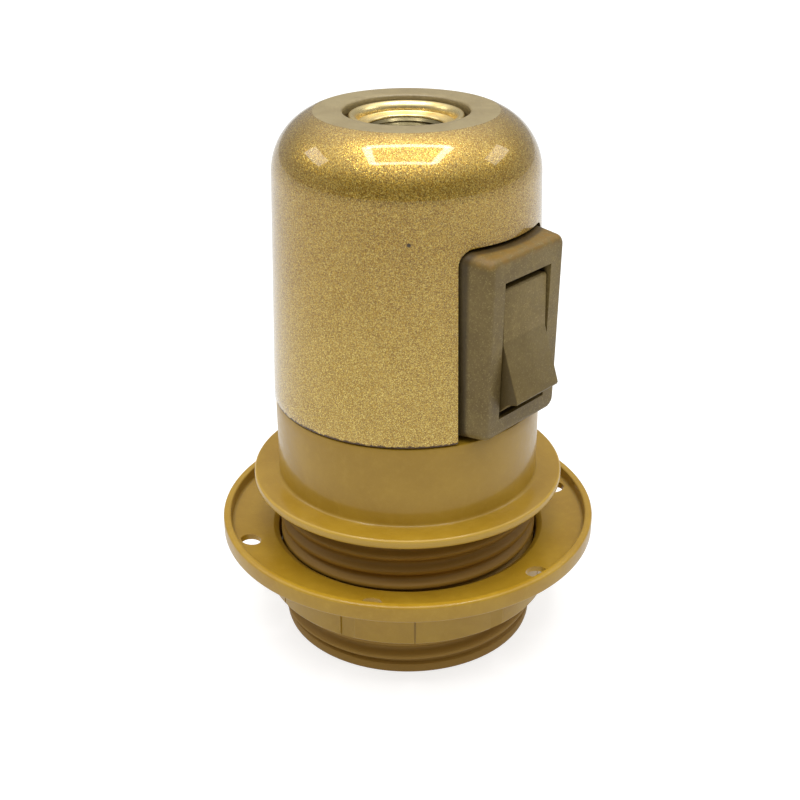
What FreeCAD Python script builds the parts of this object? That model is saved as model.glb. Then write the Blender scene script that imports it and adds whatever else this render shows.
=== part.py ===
import FreeCAD, Part
import math
import os
from FreeCAD import Vector as V

# E27 thermoplastic lampholder with a side rocker switch, M10x1 top entry and one shade ring.
# Frame: millimetres, +Z up along the lampholder's axis, origin in the middle of the mouth plane.
# The switch faces -Y. The holder is modelled standing on its mouth.

# ---------------------------------------------------------------- driving dimensions
H_TOTAL = 80.6          # mouth plane to flat top

# cap
CAP_Z0 = 38.5           # lower edge of the cap
CAP_R0 = 20.0           # outer radius at the lower edge
CAP_R1 = 18.93          # outer radius where the shoulder starts
CAP_Z1 = 72.07          # height where the shoulder starts
CAP_FLAT_R = 12.92      # radius of the flat top disc
CAP_WALL = 1.8
CAP_HOLE_R = 8.95       # recess round the entry bush
CAP_WEB_Z = 77.3        # floor of that recess
CAP_WEB_T = 1.8
CAP_WEB_HOLE_R = 6.7
CAP_CUP_R = 10.6         # outside of the cup that holds the bush

# skirt
SK_LEDGE_Z = 38.3       # shoulder that the cap's edge sits above
SK_R = 19.8             # smooth band
SK_SPIGOT_R = 18.05     # spigot inside the cap
SK_SPIGOT_Z = 43.5
FL_R = 23.65            # integral flange
FL_Z0, FL_Z1 = 24.46, 25.9
TH_R = 20.0             # barrel thread crest, 40 mm x 2.5 mm
TH_ROOT_R = 18.85
TH_PITCH = 2.5
TH_Z0 = 3.1             # lowest crest
TH_N = 8
E27_R = 13.3            # E27 screw thread, major radius (plain bore here)
E27_TUBE_R = 14.9
E27_TUBE_Z = 22.0
E27_THREAD_Z = 17.0      # the screw thread ends here, with the side contact's arms above it
RIM_T = 1.9             # closed mouth rim between barrel and lamp tube

# shade ring
RG_R = 28.88
RG_TOP_Z = 18.45
RG_RIM_T = 1.2
RG_RIM_Z0 = 15.65
RG_HUB_R = 22.3
RG_HUB_Z = 7.23
RG_BORE_R = 20.35
RG_HOLE_R = 1.55
RG_HOLE_PCR = 25.3
RG_HOLE_AZ = -0.5       # degrees from -Y towards +X
RG_NOTCH_AZ = -12.1

# switch
SW_FACE_Y = -21.45       # face of the bezel at the rocker's height
SW_FACE_TILT = 1.25      # the face leans out towards the top, degrees
SW_W = 16.20             # width at the face; the sides widen towards the cap
SW_DRAFT = 0.1124        # sideways growth per mm of depth
SW_BACK_Y = -15.4
SW_Z0, SW_Z1 = 39.2, 65.55
SW_Z0_BACK, SW_Z1_BACK = 38.55, 66.05
SW_ZC = 51.85
SW_OPEN_W = 10.2
SW_OPEN_Z0, SW_OPEN_Z1 = 41.95, 61.95
SW_PLATE_T = 1.6
PIV_Y = -15.16          # rocker pivot
RK_W = 9.6
RK_THROW = 20.0         # full travel of the rocker, degrees
RK_PIN_R = 1.2

# entry bush, M10x1
EB_BORE_R = 5.0
EB_RIM_R = 8.0
EB_TOP_Z = 80.05
EB_SHANK_R = 6.6
EB_TAIL_Z = 65.5

os.makedirs("parts", exist_ok=True)


# ---------------------------------------------------------------- helpers
def box(x0, x1, y0, y1, z0, z1):
    return Part.makeBox(x1 - x0, y1 - y0, z1 - z0, V(x0, y0, z0))


def cyl(r, z0, z1, x=0.0, y=0.0):
    return Part.makeCylinder(r, z1 - z0, V(x, y, z0), V(0, 0, 1))


def cyl_y(r, y0, y1, x, z):
    return Part.makeCylinder(r, y1 - y0, V(x, y0, z), V(0, 1, 0))


def cyl_x(r, x0, x1, y, z):
    return Part.makeCylinder(r, x1 - x0, V(x0, y, z), V(1, 0, 0))


def revolve(pts):
    """Solid of revolution about Z from a closed polyline of (r, z)."""
    w = Part.makePolygon([V(r, 0, z) for r, z in pts] + [V(pts[0][0], 0, pts[0][1])])
    return Part.Face(w).revolve(V(0, 0, 0), V(0, 0, 1), 360)


def revolve_edges(edges):
    w = Part.Wire(Part.__sortEdges__(edges))
    return Part.Face(w).revolve(V(0, 0, 0), V(0, 0, 1), 360)


def line(a, b):
    return Part.LineSegment(V(a[0], 0, a[1]), V(b[0], 0, b[1])).toShape()


def arc(a, m, b):
    return Part.Arc(V(a[0], 0, a[1]), V(m[0], 0, m[1]), V(b[0], 0, b[1])).toShape()


def offset_path(pts, t):
    """Closed outline of a strip of thickness t centred on a polyline of 2-D points."""
    left, right = [], []
    n = len(pts)
    for i, p in enumerate(pts):
        if i == 0:
            d = (pts[1][0] - p[0], pts[1][1] - p[1])
            k = 1.0
        elif i == n - 1:
            d = (p[0] - pts[i - 1][0], p[1] - pts[i - 1][1])
            k = 1.0
        else:
            a = (p[0] - pts[i - 1][0], p[1] - pts[i - 1][1])
            b = (pts[i + 1][0] - p[0], pts[i + 1][1] - p[1])
            la, lb = math.hypot(*a), math.hypot(*b)
            a = (a[0] / la, a[1] / la)
            b = (b[0] / lb, b[1] / lb)
            d = (a[0] + b[0], a[1] + b[1])
            k = 1.0 / math.sqrt(max(0.1, (1 + a[0] * b[0] + a[1] * b[1]) / 2))
        m = math.hypot(*d)
        nx, ny = -d[1] / m * t / 2 * k, d[0] / m * t / 2 * k
        left.append((p[0] + nx, p[1] + ny))
        right.append((p[0] - nx, p[1] - ny))
    return left + right[::-1]


def strip_yz(pts, t, x0, x1):
    """Bent sheet-metal strip: polyline in the YZ plane, thickness t, from x0 to x1."""
    o = offset_path(pts, t)
    w = Part.makePolygon([V(x0, y, z) for y, z in o] + [V(x0, o[0][0], o[0][1])])
    return Part.Face(w).extrude(V(x1 - x0, 0, 0))


def strip_xz(pts, t, y0, y1):
    o = offset_path(pts, t)
    w = Part.makePolygon([V(x, y0, z) for x, z in o] + [V(o[0][0], y0, o[0][1])])
    return Part.Face(w).extrude(V(0, y1 - y0, 0))


def prism_yz(pts, x0, x1):
    w = Part.makePolygon([V(x0, y, z) for y, z in pts] + [V(x0, pts[0][0], pts[0][1])])
    return Part.Face(w).extrude(V(x1 - x0, 0, 0))


def fuse(*shapes):
    s = shapes[0]
    for t in shapes[1:]:
        s = s.fuse(t)
    return s.removeSplitter()


def turn(shape, az):
    """Turn about Z so that what was at -Y sits at azimuth az (from -Y towards +X)."""
    s = shape.copy()
    s.rotate(V(0, 0, 0), V(0, 0, 1), az)
    return s


def save(name, shape):
    solids = shape.Solids
    if len(solids) == 1:
        shape = solids[0]
    assert shape.isValid(), name
    shape.exportStep("parts/%s.step" % name)
    b = shape.BoundBox
    print("%-18s solids %d vol %9.2f  box %.2f %.2f %.2f .. %.2f %.2f %.2f" % (
        name, len(solids), shape.Volume, b.XMin, b.YMin, b.ZMin, b.XMax, b.YMax, b.ZMax))
    PARTS[name] = shape


PARTS = {}


# ---------------------------------------------------------------- cap
def shoulder(r1, z1, r2, z2):
    """Arc tangent to the side at (r1, z1) that ends at (r2, z2)."""
    ph = 2 * math.atan2(r1 - r2, z2 - z1)
    rad = (z2 - z1) / math.sin(ph)
    m = ph / 2
    return arc((r1, z1), (r1 - rad * (1 - math.cos(m)), z1 + rad * math.sin(m)), (r2, z2))


cap_in_r0 = CAP_R0 - CAP_WALL
cap_in_r1 = CAP_R1 - CAP_WALL
cap_in_z1 = CAP_Z1
cap_in_flat_z = CAP_WEB_Z - CAP_WEB_T
cap_ceil_z = H_TOTAL - 2.0


def shoulder_in():
    return shoulder(cap_in_r1, cap_in_z1, CAP_FLAT_R - 0.4, cap_ceil_z)


BEAD_Z = 41.7
cap = revolve_edges([
    line((CAP_R0 - 0.25, CAP_Z0), (CAP_R0, CAP_Z0 + 0.25)),
    line((CAP_R0, CAP_Z0 + 0.25), (CAP_R1, CAP_Z1)),
    shoulder(CAP_R1, CAP_Z1, CAP_FLAT_R, H_TOTAL),
    line((CAP_FLAT_R, H_TOTAL), (CAP_HOLE_R + 0.25, H_TOTAL)),
    line((CAP_HOLE_R + 0.25, H_TOTAL), (CAP_HOLE_R, H_TOTAL - 0.25)),
    line((CAP_HOLE_R, H_TOTAL - 0.25), (CAP_HOLE_R, CAP_WEB_Z)),
    line((CAP_HOLE_R, CAP_WEB_Z), (CAP_WEB_HOLE_R, CAP_WEB_Z)),
    line((CAP_WEB_HOLE_R, CAP_WEB_Z), (CAP_WEB_HOLE_R, cap_in_flat_z)),
    line((CAP_WEB_HOLE_R, cap_in_flat_z), (CAP_CUP_R, cap_in_flat_z)),
    line((CAP_CUP_R, cap_in_flat_z), (CAP_CUP_R, cap_ceil_z)),
    line((CAP_CUP_R, cap_ceil_z), (CAP_FLAT_R - 0.4, cap_ceil_z)),
    shoulder_in(),
    line((cap_in_r1, cap_in_z1), (cap_in_r0, BEAD_Z + 1.0)),
    line((cap_in_r0, BEAD_Z + 1.0), (cap_in_r0 + 0.45, BEAD_Z + 0.55)),
    line((cap_in_r0 + 0.45, BEAD_Z + 0.55), (cap_in_r0 + 0.45, BEAD_Z - 0.55)),
    line((cap_in_r0 + 0.45, BEAD_Z - 0.55), (cap_in_r0, BEAD_Z - 1.0)),
    line((cap_in_r0, BEAD_Z - 1.0), (cap_in_r0, CAP_Z0)),
    line((cap_in_r0, CAP_Z0), (CAP_R0 - 0.25, CAP_Z0)),
])
# slot for the switch, open at the lower edge, with rounded top corners
SLOT_TOP = 66.4
slot = Part.Face(Part.makePolygon([V(-9.6, -26, 30), V(9.6, -26, 30), V(9.05, -26, SLOT_TOP), V(-9.05, -26, SLOT_TOP), V(-9.6, -26, 30)])).extrude(V(0, 15, 0))
slot = slot.makeFillet(2.2, [e for e in slot.Edges
                             if abs(e.BoundBox.ZMin - SLOT_TOP) < 1e-6 and abs(e.BoundBox.ZMax - SLOT_TOP) < 1e-6
                             and e.BoundBox.YLength > 1])
# posts that take the contact block's screws, each tied to the wall by a rib
POST_XY = [(-11.8, -7.6), (11.8, -7.6)]
POST_R = 2.0
BLOCK_TOP = 33.0
posts = []
for px, py in POST_XY:
    a = math.atan2(py, px)
    post = cyl(POST_R, BLOCK_TOP, cap_ceil_z + 0.3, px, py)
    rib = box(13.6, 18.4, -0.6, 0.6, 44.6, cap_ceil_z + 0.3)
    rib.rotate(V(0, 0, 0), V(0, 0, 1), math.degrees(a))
    posts.append(post.fuse(rib))
# the posts and ribs are cut to the inside of the shell
inner_env = revolve_edges([
    line((0, 30), (cap_in_r0 - 0.0, 30)),
    line((cap_in_r0, 30), (cap_in_r0, BEAD_Z + 1.0)),
    line((cap_in_r0, BEAD_Z + 1.0), (cap_in_r1, cap_in_z1)),
    shoulder_in(),
    line((CAP_FLAT_R - 0.4, cap_ceil_z), (0, cap_ceil_z)),
    line((0, cap_ceil_z), (0, 30)),
])
cap = cap.cut(slot)
for p in posts:
    cap = cap.fuse(p.common(inner_env))
cap = cap.removeSplitter()
PILOT_R = 1.53
for px, py in POST_XY:
    cap = cap.cut(cyl(PILOT_R, BLOCK_TOP - 1, BLOCK_TOP + 9, px, py))
save("cap", cap)

# ---------------------------------------------------------------- entry bush, nut and grub screw
entry_bush = revolve_edges([
    line((EB_BORE_R, EB_TAIL_Z), (EB_SHANK_R - 0.3, EB_TAIL_Z)),
    line((EB_SHANK_R - 0.3, EB_TAIL_Z), (EB_SHANK_R, EB_TAIL_Z + 0.3)),
    line((EB_SHANK_R, EB_TAIL_Z + 0.3), (EB_SHANK_R, CAP_WEB_Z)),
    line((EB_SHANK_R, CAP_WEB_Z), (EB_RIM_R - 0.1, CAP_WEB_Z)),
    line((EB_RIM_R - 0.1, CAP_WEB_Z), (EB_RIM_R, EB_TOP_Z - 0.3)),
    arc((EB_RIM_R, EB_TOP_Z - 0.3), (EB_RIM_R - 0.15, EB_TOP_Z - 0.06), (EB_RIM_R - 0.4, EB_TOP_Z)),
    arc((EB_RIM_R - 0.4, EB_TOP_Z), (EB_RIM_R - 1.0, EB_TOP_Z - 0.55), (EB_RIM_R - 1.25, EB_TOP_Z - 1.25)),
    line((EB_RIM_R - 1.25, EB_TOP_Z - 1.25), (EB_BORE_R + 0.45, EB_TOP_Z - 1.75)),
    line((EB_BORE_R + 0.45, EB_TOP_Z - 1.75), (EB_BORE_R, EB_TOP_Z - 2.25)),
    line((EB_BORE_R, EB_TOP_Z - 2.25), (EB_BORE_R, EB_TAIL_Z)),
])
GRUB_Z = 68.0
entry_bush = entry_bush.cut(cyl_y(1.52, 0, 12, 0, GRUB_Z))
save("entry_bush", entry_bush)

NUT_AF = 16.0
hexw = Part.makePolygon([V(NUT_AF / math.sqrt(3) * math.cos(math.radians(60 * i)),
                           NUT_AF / math.sqrt(3) * math.sin(math.radians(60 * i)), cap_in_flat_z - 3.0) for i in range(7)])
nut = Part.Face(hexw).extrude(V(0, 0, 3.0))
cone = revolve([(0, cap_in_flat_z - 3.0), (NUT_AF / 2 - 0.1, cap_in_flat_z - 3.0), (NUT_AF / 2 + 1.6, cap_in_flat_z - 2.1),
                (NUT_AF / 2 + 1.6, cap_in_flat_z), (0, cap_in_flat_z)])
nut = nut.common(cone).cut(cyl(EB_SHANK_R + 0.05, cap_in_flat_z - 4, cap_in_flat_z + 1))
save("bush_nut", nut)

grub = cyl_y(1.5, EB_BORE_R + 0.25, 10.2, 0, GRUB_Z).cut(box(-0.3, 0.3, 9.2, 10.5, GRUB_Z - 2, GRUB_Z + 2))
save("bush_grub_screw", grub)

# ---------------------------------------------------------------- skirt
pts = [(E27_R + 0.9, 0.0), (TH_R - 0.9, 0.0), (TH_R - 0.45, 0.45), (TH_R - 0.45, 1.5), (TH_ROOT_R, 2.0)]
for i in range(TH_N):
    zc = TH_Z0 + i * TH_PITCH
    pts += [(TH_ROOT_R, zc - 0.88), (TH_R - 0.16, zc - 0.34), (TH_R, zc - 0.14), (TH_R, zc + 0.14),
            (TH_R - 0.16, zc + 0.34), (TH_ROOT_R, zc + 0.88)]
pts += [(TH_ROOT_R, FL_Z0 - 0.4), (TH_ROOT_R + 0.4, FL_Z0),
        (FL_R - 0.35, FL_Z0), (FL_R - 0.1, FL_Z0 + 0.1), (FL_R, FL_Z0 + 0.35), (FL_R, FL_Z1 - 0.35), (FL_R - 0.1, FL_Z1 - 0.1),
        (FL_R - 0.35, FL_Z1),
        (SK_R + 0.35, FL_Z1), (SK_R + 0.1, FL_Z1 + 0.1), (SK_R, FL_Z1 + 0.35),
        (SK_R, SK_LEDGE_Z - 0.2), (SK_R - 0.2, SK_LEDGE_Z),
        (SK_SPIGOT_R, SK_LEDGE_Z),
        (SK_SPIGOT_R, BEAD_Z - 0.8), (SK_SPIGOT_R + 0.4, BEAD_Z - 0.4), (SK_SPIGOT_R + 0.4, BEAD_Z + 0.3), (SK_SPIGOT_R, BEAD_Z + 0.9),
        (SK_SPIGOT_R, SK_SPIGOT_Z - 0.4), (SK_SPIGOT_R - 0.4, SK_SPIGOT_Z),
        (16.4, SK_SPIGOT_Z), (16.4, 30.0), (16.9, 29.0), (16.9, RIM_T),
        (E27_TUBE_R, RIM_T), (E27_TUBE_R, E27_TUBE_Z), (E27_R + 0.5, E27_TUBE_Z), (E27_R + 0.5, E27_THREAD_Z + 0.5), (E27_R, E27_THREAD_Z),
        (E27_R, 0.9)]
skirt = revolve(pts)
# the spigot is cut away where the switch comes down inside the cap
skirt = skirt.cut(box(-10.2, 10.2, -20.5, -8.0, SK_LEDGE_Z, SK_SPIGOT_Z + 1))
# four ribs between the lamp tube and the barrel
for k in range(4):
    r = box(-0.6, 0.6, -17.2, -14.5, RIM_T - 0.5, 19.0)
    skirt = skirt.fuse(turn(r, 45 + 90 * k))
skirt = skirt.removeSplitter()
save("skirt", skirt)

# ---------------------------------------------------------------- shade ring
ring = revolve([
    (RG_BORE_R + 0.55, RG_HUB_Z), (RG_HUB_R - 0.35, RG_HUB_Z), (RG_HUB_R, RG_HUB_Z + 0.35), (RG_HUB_R, 14.95),
    (RG_HUB_R + 0.4, 15.35),
    (RG_R - 0.5, RG_RIM_Z0), (RG_R - 0.1, RG_RIM_Z0 + 0.12), (RG_R, RG_RIM_Z0 + 0.4), (RG_R, RG_TOP_Z - 0.35), (RG_R - 0.1, RG_TOP_Z - 0.1),
    (RG_R - 0.35, RG_TOP_Z), (RG_R - RG_RIM_T + 0.3, RG_TOP_Z), (RG_R - RG_RIM_T + 0.08, RG_TOP_Z - 0.08), (RG_R - RG_RIM_T, RG_TOP_Z - 0.3),
    (RG_R - RG_RIM_T, 16.95), (RG_R - RG_RIM_T - 0.3, 16.7),
    (21.2, 15.8), (RG_BORE_R + 0.1, 15.2), (RG_BORE_R, 14.9), (RG_BORE_R, RG_HUB_Z + 0.55)])
for k in range(6):
    h = cyl(RG_HOLE_R, 12, 20, 0, -RG_HOLE_PCR)
    ring = ring.cut(turn(h, RG_HOLE_AZ + 60 * k))
    nb = box(-1.2, 1.2, -RG_HUB_R - 1, -(RG_HUB_R - 0.25), RG_HUB_Z - 1, 13.9)
    ring = ring.cut(turn(nb, RG_NOTCH_AZ + 60 * k))
save("shade_ring", ring)

# ---------------------------------------------------------------- switch: frame with housing


def face_y(z):
    return SW_FACE_Y - (z - SW_ZC) * math.tan(math.radians(SW_FACE_TILT))


bez = prism_yz([(face_y(SW_Z0), SW_Z0), (face_y(SW_Z1), SW_Z1), (SW_BACK_Y, SW_Z1_BACK), (SW_BACK_Y, SW_Z0_BACK)], -10, 10)
wb = SW_W / 2 + SW_DRAFT * (SW_BACK_Y - SW_FACE_Y)
wf = SW_W / 2 - SW_DRAFT * 1.05
bez = bez.common(Part.Face(Part.makePolygon([V(-wb, SW_BACK_Y, 30), V(-wf, SW_FACE_Y - 1.05, 30), V(wf, SW_FACE_Y - 1.05, 30), V(wb, SW_BACK_Y, 30),
                                            V(-wb, SW_BACK_Y, 30)])).extrude(V(0, 0, 45)))
bez = bez.makeFillet(1.6, [e for e in bez.Edges if e.BoundBox.YLength > 2])
front = [e for e in bez.Edges if e.BoundBox.YMax < -20.6 and e.BoundBox.YLength < 2]
bez = bez.makeFillet(0.8, front)
house = box(-7.6, 7.6, -15.5, -5.6, 40.3, 63.4)
wings = box(-10.1, 10.1, -13.9, -12.7, 44.0, 62.7)
frame = bez.fuse(house).fuse(wings)
opening = box(-SW_OPEN_W / 2, SW_OPEN_W / 2, -23, SW_FACE_Y + SW_PLATE_T + 0.1, SW_OPEN_Z0, SW_OPEN_Z1)
opening = opening.makeFillet(0.25, [e for e in opening.Edges if e.BoundBox.YLength > 1])
cavity = box(-SW_OPEN_W / 2, SW_OPEN_W / 2, SW_FACE_Y + SW_PLATE_T, -7.0, 40.85 + 0.0, 62.85)
cavity = cavity.cut(box(-6, 6, -10.5, -6, 40, 44.6)).cut(box(-6, 6, -10.5, -6, 59.1, 63.5))
frame = frame.cut(opening).cut(cavity)
# blind holes for the rocker's pins, and slots for the two contacts' tabs
frame = frame.cut(cyl_x(RK_PIN_R + 0.05, -6.6, 6.6, PIV_Y, SW_ZC))
frame = frame.cut(box(-5.25, -3.85, -7.2, -5, 51.45, 52.25))
frame = frame.cut(box(3.35, 5.05, -7.2, -5, 57.55, 58.45))
frame = frame.removeSplitter()
save("switch_frame", frame)

# ---------------------------------------------------------------- rocker (modelled with its lower end out)
a10 = math.radians(RK_THROW / 2)


def rk(s, a):
    """Point of the rocker's section. s: up from the pivot, a: outward from the pivot, in the mid position."""
    return (PIV_Y - (a * math.cos(a10) - s * math.sin(a10)), SW_ZC + s * math.cos(a10) + a * math.sin(a10))


# the end that is sunk here stops a little short of the opening's edge
upper = [(0.0, 6.35), (7.1, 7.43), (7.5, 7.44), (7.75, 7.22), (7.95, 5.8), (9.9, 4.2), (9.75, 3.7), (8.6, 1.6), (6.2, 0.2), (3.0, -0.6), (2.3, -2.9)]
half = [(0.0, 6.35), (7.9, 7.55), (8.3, 7.56), (8.55, 7.34), (8.75, 5.8), (9.9, 4.2), (9.75, 3.7), (8.6, 1.6), (6.2, 0.2), (3.0, -0.6), (2.3, -2.9)]
sec = [(s, a) for s, a in upper] + [(-s, a) for s, a in half[:0:-1]]
rocker = prism_yz([rk(s, a) for s, a in sec], -RK_W / 2, RK_W / 2)
rocker = rocker.fuse(cyl_x(RK_PIN_R, -6.35, 6.35, PIV_Y, SW_ZC))
# bore for the plunger and its spring, along the rocker's inward direction
inward = V(0, math.cos(a10), -math.sin(a10))
piv = V(0, PIV_Y, SW_ZC)
bore0 = piv + inward * (-3.6)
PL_R = 1.15
rocker = rocker.cut(Part.makeCylinder(PL_R + 0.06, 8.0, bore0, inward))
save("rocker", rocker)

plunger = Part.makeCylinder(PL_R, 3.9, piv + inward * 0.35, inward)
tip = Part.makeSphere(PL_R, piv + inward * (0.35 + 3.9))
tip = tip.common(Part.makeCylinder(PL_R + 1, 3, piv + inward * (0.35 + 3.9), inward))
plunger = plunger.fuse(tip).removeSplitter()
save("rocker_plunger", plunger)

# coil spring between the bottom of the bore and the plunger
sp_r, sp_w = 0.8, 0.16
sp_len = 3.3
helix = Part.makeHelix(0.62, sp_len, sp_r)
circ = Part.Wire([Part.Circle(V(sp_r, 0, 0), V(0, 1, 0), sp_w).toShape()])
spring = Part.Wire(helix).makePipeShell([circ], True, True)
spring.Placement = FreeCAD.Placement(piv + inward * (-3.6 + 0.2), FreeCAD.Rotation(V(0, 0, 1), inward))
save("plunger_spring", spring)

# ---------------------------------------------------------------- see-saw contact and fixed contacts
BR_Y0, BR_Y1 = -9.62, -9.07    # the bridge's plate, in its mid position
BR_TILT = 7.0
bridge = prism_yz([(BR_Y0, 46.7), (BR_Y0, 57.0), (BR_Y1, 57.0), (BR_Y1, 52.15), (BR_Y1 + 0.0, 51.55), (BR_Y1, 46.7)], -1.7, 1.7)
lip = box(-1.7, -1.2, BR_Y0 - 0.7, BR_Y0, 49.2, 54.5).fuse(box(1.2, 1.7, BR_Y0 - 0.7, BR_Y0, 49.2, 54.5))
bridge = bridge.fuse(lip).removeSplitter()
# pressed groove that sits on the pivot contact's round nose
bridge = bridge.cut(cyl_x(0.33, -2.0, 2.0, BR_Y1, SW_ZC)).removeSplitter()
b_tip = cyl_y(1.0, BR_Y1, BR_Y1 + 0.45, 0, 55.9)
BR_PIV = V(0, BR_Y1, SW_ZC)
for s in (bridge, b_tip):
    s.rotate(BR_PIV, V(1, 0, 0), BR_TILT)   # lower end to the rear, upper end forward
save("contact_bridge", bridge)
save("bridge_tip", b_tip)

pivot_contact = box(-5.0, 1.7, -7.6, -7.0, 50.4, 53.3)
knife = prism_yz([(-7.6, 51.25), (BR_Y1 + 0.1, 51.64), (BR_Y1 + 0.1, 52.06), (-7.6, 52.45)], -1.5, 1.5)
knife = knife.fuse(cyl_x(0.25, -1.5, 1.5, BR_Y1, SW_ZC)).removeSplitter()
tab1 = box(-5.0, -4.1, -7.1, -3.6, 51.55, 52.15)
pivot_contact = fuse(pivot_contact, knife, tab1)
save("pivot_contact", pivot_contact)

fixed_contact = box(-1.7, 4.9, -7.6, -7.0, 54.6, 58.95)
tab2 = box(3.5, 4.9, -7.1, -3.6, 57.7, 58.3)
fixed_contact = fuse(fixed_contact, tab2)
save("fixed_contact", fixed_contact)
# tip of the fixed contact: 0.1 mm from the bridge's tip when the switch is on
f_tip = cyl_y(1.0, -8.0, -7.6, 0, 55.9)
save("fixed_tip", f_tip)

# ---------------------------------------------------------------- contact block
block = cyl(16.1, 28.0, BLOCK_TOP)
# walls between the two terminals
block = block.fuse(box(-1.0, 1.0, 4.2, 15.0, BLOCK_TOP - 0.5, 42.5))
# slots for the arms of the side contact, and the recess over the centre contact
for sx in (-1, 1):
    block = block.cut(box(min(sx * 12.0, sx * 13.4), max(sx * 12.0, sx * 13.4), -2.7, 2.7, 27, 34))
block = block.cut(box(-3.0, 3.0, -13.2, 4.6, 27, 29.6))
# clearance holes and counterbores of the two block screws
for px, py in POST_XY:
    block = block.cut(cyl(1.6, 27, 34, px, py))
    block = block.cut(cyl(2.0, 27, 30.2, px, py))
# rivet holes
RIV_SIDE = [(-8.2, 0.0), (8.2, 0.0)]
for px, py in RIV_SIDE:
    block = block.cut(cyl(1.25, 27, 34, px, py))
    block = block.cut(cyl(2.1, 27, 29.0, px, py))
CR_Y = -9.5
block = block.cut(cyl(1.25, 27, 34, 0, CR_Y))
block = block.removeSplitter()
save("contact_block", block)

screws = []
for px, py in POST_XY:
    s = cyl(1.5, 29.5, 40.5, px, py).fuse(cyl(1.9, 28.3, 30.2, px, py)).removeSplitter()
    s = s.cut(box(px - 3, px + 3, py - 0.3, py + 0.3, 28.0, 29.0))
    screws.append(s)
save("block_screws", Part.makeCompound(screws))

# centre contact: bronze leaf under the block, free end in the middle
leaf = strip_yz([(-12.4, 27.5), (-7.2, 27.5), (-1.6, 25.2), (1.4, 25.2), (2.8, 26.1)], 0.45, -2.4, 2.4)
leaf = leaf.cut(cyl(1.55, 20, 30, 0, CR_Y))
save("centre_contact", leaf)
c_riv = fuse(cyl(1.2, 26.6, 34.2, 0, CR_Y), cyl(2.1, 26.2, 26.8, 0, CR_Y), cyl(2.0, 33.85, 34.4, 0, CR_Y))
save("centre_rivet", c_riv)

# side contact: one bronze strip over the block, two arms down into the lamp tube, one foot under the neutral terminal
T_SC = 0.45
zc = BLOCK_TOP + T_SC / 2
bar = strip_xz([(-12.7, 20.8), (-12.7, zc), (12.7, zc), (12.7, 20.8)], T_SC, -2.3, 2.3)
armL = strip_xz([(-12.7, 21.2), (-12.7, 20.6), (-12.1, 19.2), (-12.6, 18.0)], T_SC, -1.9, 1.9)
armR = strip_xz([(12.7, 21.2), (12.7, 20.6), (12.1, 19.2), (12.6, 18.0)], T_SC, -1.9, 1.9)
foot = box(4.0, 9.2, 2.0, 12.4, BLOCK_TOP, BLOCK_TOP + T_SC)
arms_cut = fuse(box(11.5, 14, -5, -1.9, 17, 27.9), box(11.5, 14, 1.9, 5, 17, 27.9))
side = fuse(bar, foot)
side = side.cut(arms_cut).cut(fuse(box(-14, -11.5, -5, -1.9, 17, 27.9), box(-14, -11.5, 1.9, 5, 17, 27.9)))
side = fuse(side, armL, armR)
for px, py in RIV_SIDE:
    side = side.cut(cyl(1.25, 30, 35, px, py))
save("side_contact", side)
s_riv = []
for px, py in RIV_SIDE:
    s_riv.append(fuse(cyl(1.2, 28.4, 34.0, px, py), cyl(2.0, 28.3, 28.95, px, py), cyl(2.0, BLOCK_TOP + T_SC + 0.02, 34.2, px, py)))
save("side_rivets", Part.makeCompound(s_riv))


# terminals: brass blocks with a wire hole from above and a set screw from the side
def terminal(xc, z0):
    t = box(xc - 2.6, xc + 2.6, 5.6, 12.3, z0, 42.0)
    t = t.makeFillet(0.4, [e for e in t.Edges if e.BoundBox.ZLength > 3])
    t = t.cut(cyl(1.5, 34.5, 43, xc, 8.6))
    t = t.cut(cyl_y(1.53, 8.6, 13, xc, 38.6))
    return t


save("line_terminal", terminal(-6.5, BLOCK_TOP))
save("neutral_terminal", terminal(6.5, BLOCK_TOP + T_SC))
t_scr = []
for xc in (-6.5, 6.5):
    t_scr.append(cyl_y(1.5, 10.15, 13.1, xc, 38.6).cut(box(xc - 0.3, xc + 0.3, 12.3, 14, 36, 41)))
save("terminal_screws", Part.makeCompound(t_scr))

# feed link: strip from the pivot contact's tab to the top of the line terminal
feed = strip_yz([(-5.2, 52.4), (4.6, 52.4), (6.0, 51.0), (6.0, 42.25)], 0.45, -5.0, -4.1)
feed2 = box(-6.4, -4.1, 5.7, 6.9, 42.0, 42.45)
feed = fuse(feed, feed2)
feed = feed.cut(cyl(1.5, 41, 44, -6.5, 8.6))
save("feed_link", feed)

# switch link: strip from the fixed contact's tab to the centre contact's rivet
link = strip_yz([(-5.0, 58.55), (-2.9, 58.55), (-2.9, 34.9), (-4.4, 33.4)], 0.45, 3.5, 4.9)
link = fuse(link, box(-2.2, 4.9, -11.6, -4.0, BLOCK_TOP, BLOCK_TOP + 0.6))
link = link.cut(cyl(1.25, 30, 36, 0, CR_Y)).cut(box(-15, 15, -2.45, 2.6, 30, 33.9))
save("switch_link", link)
print("nodes", len(PARTS))
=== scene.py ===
import math

import bmesh
import bpy
import numpy as np
from mathutils import Matrix, Vector


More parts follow.
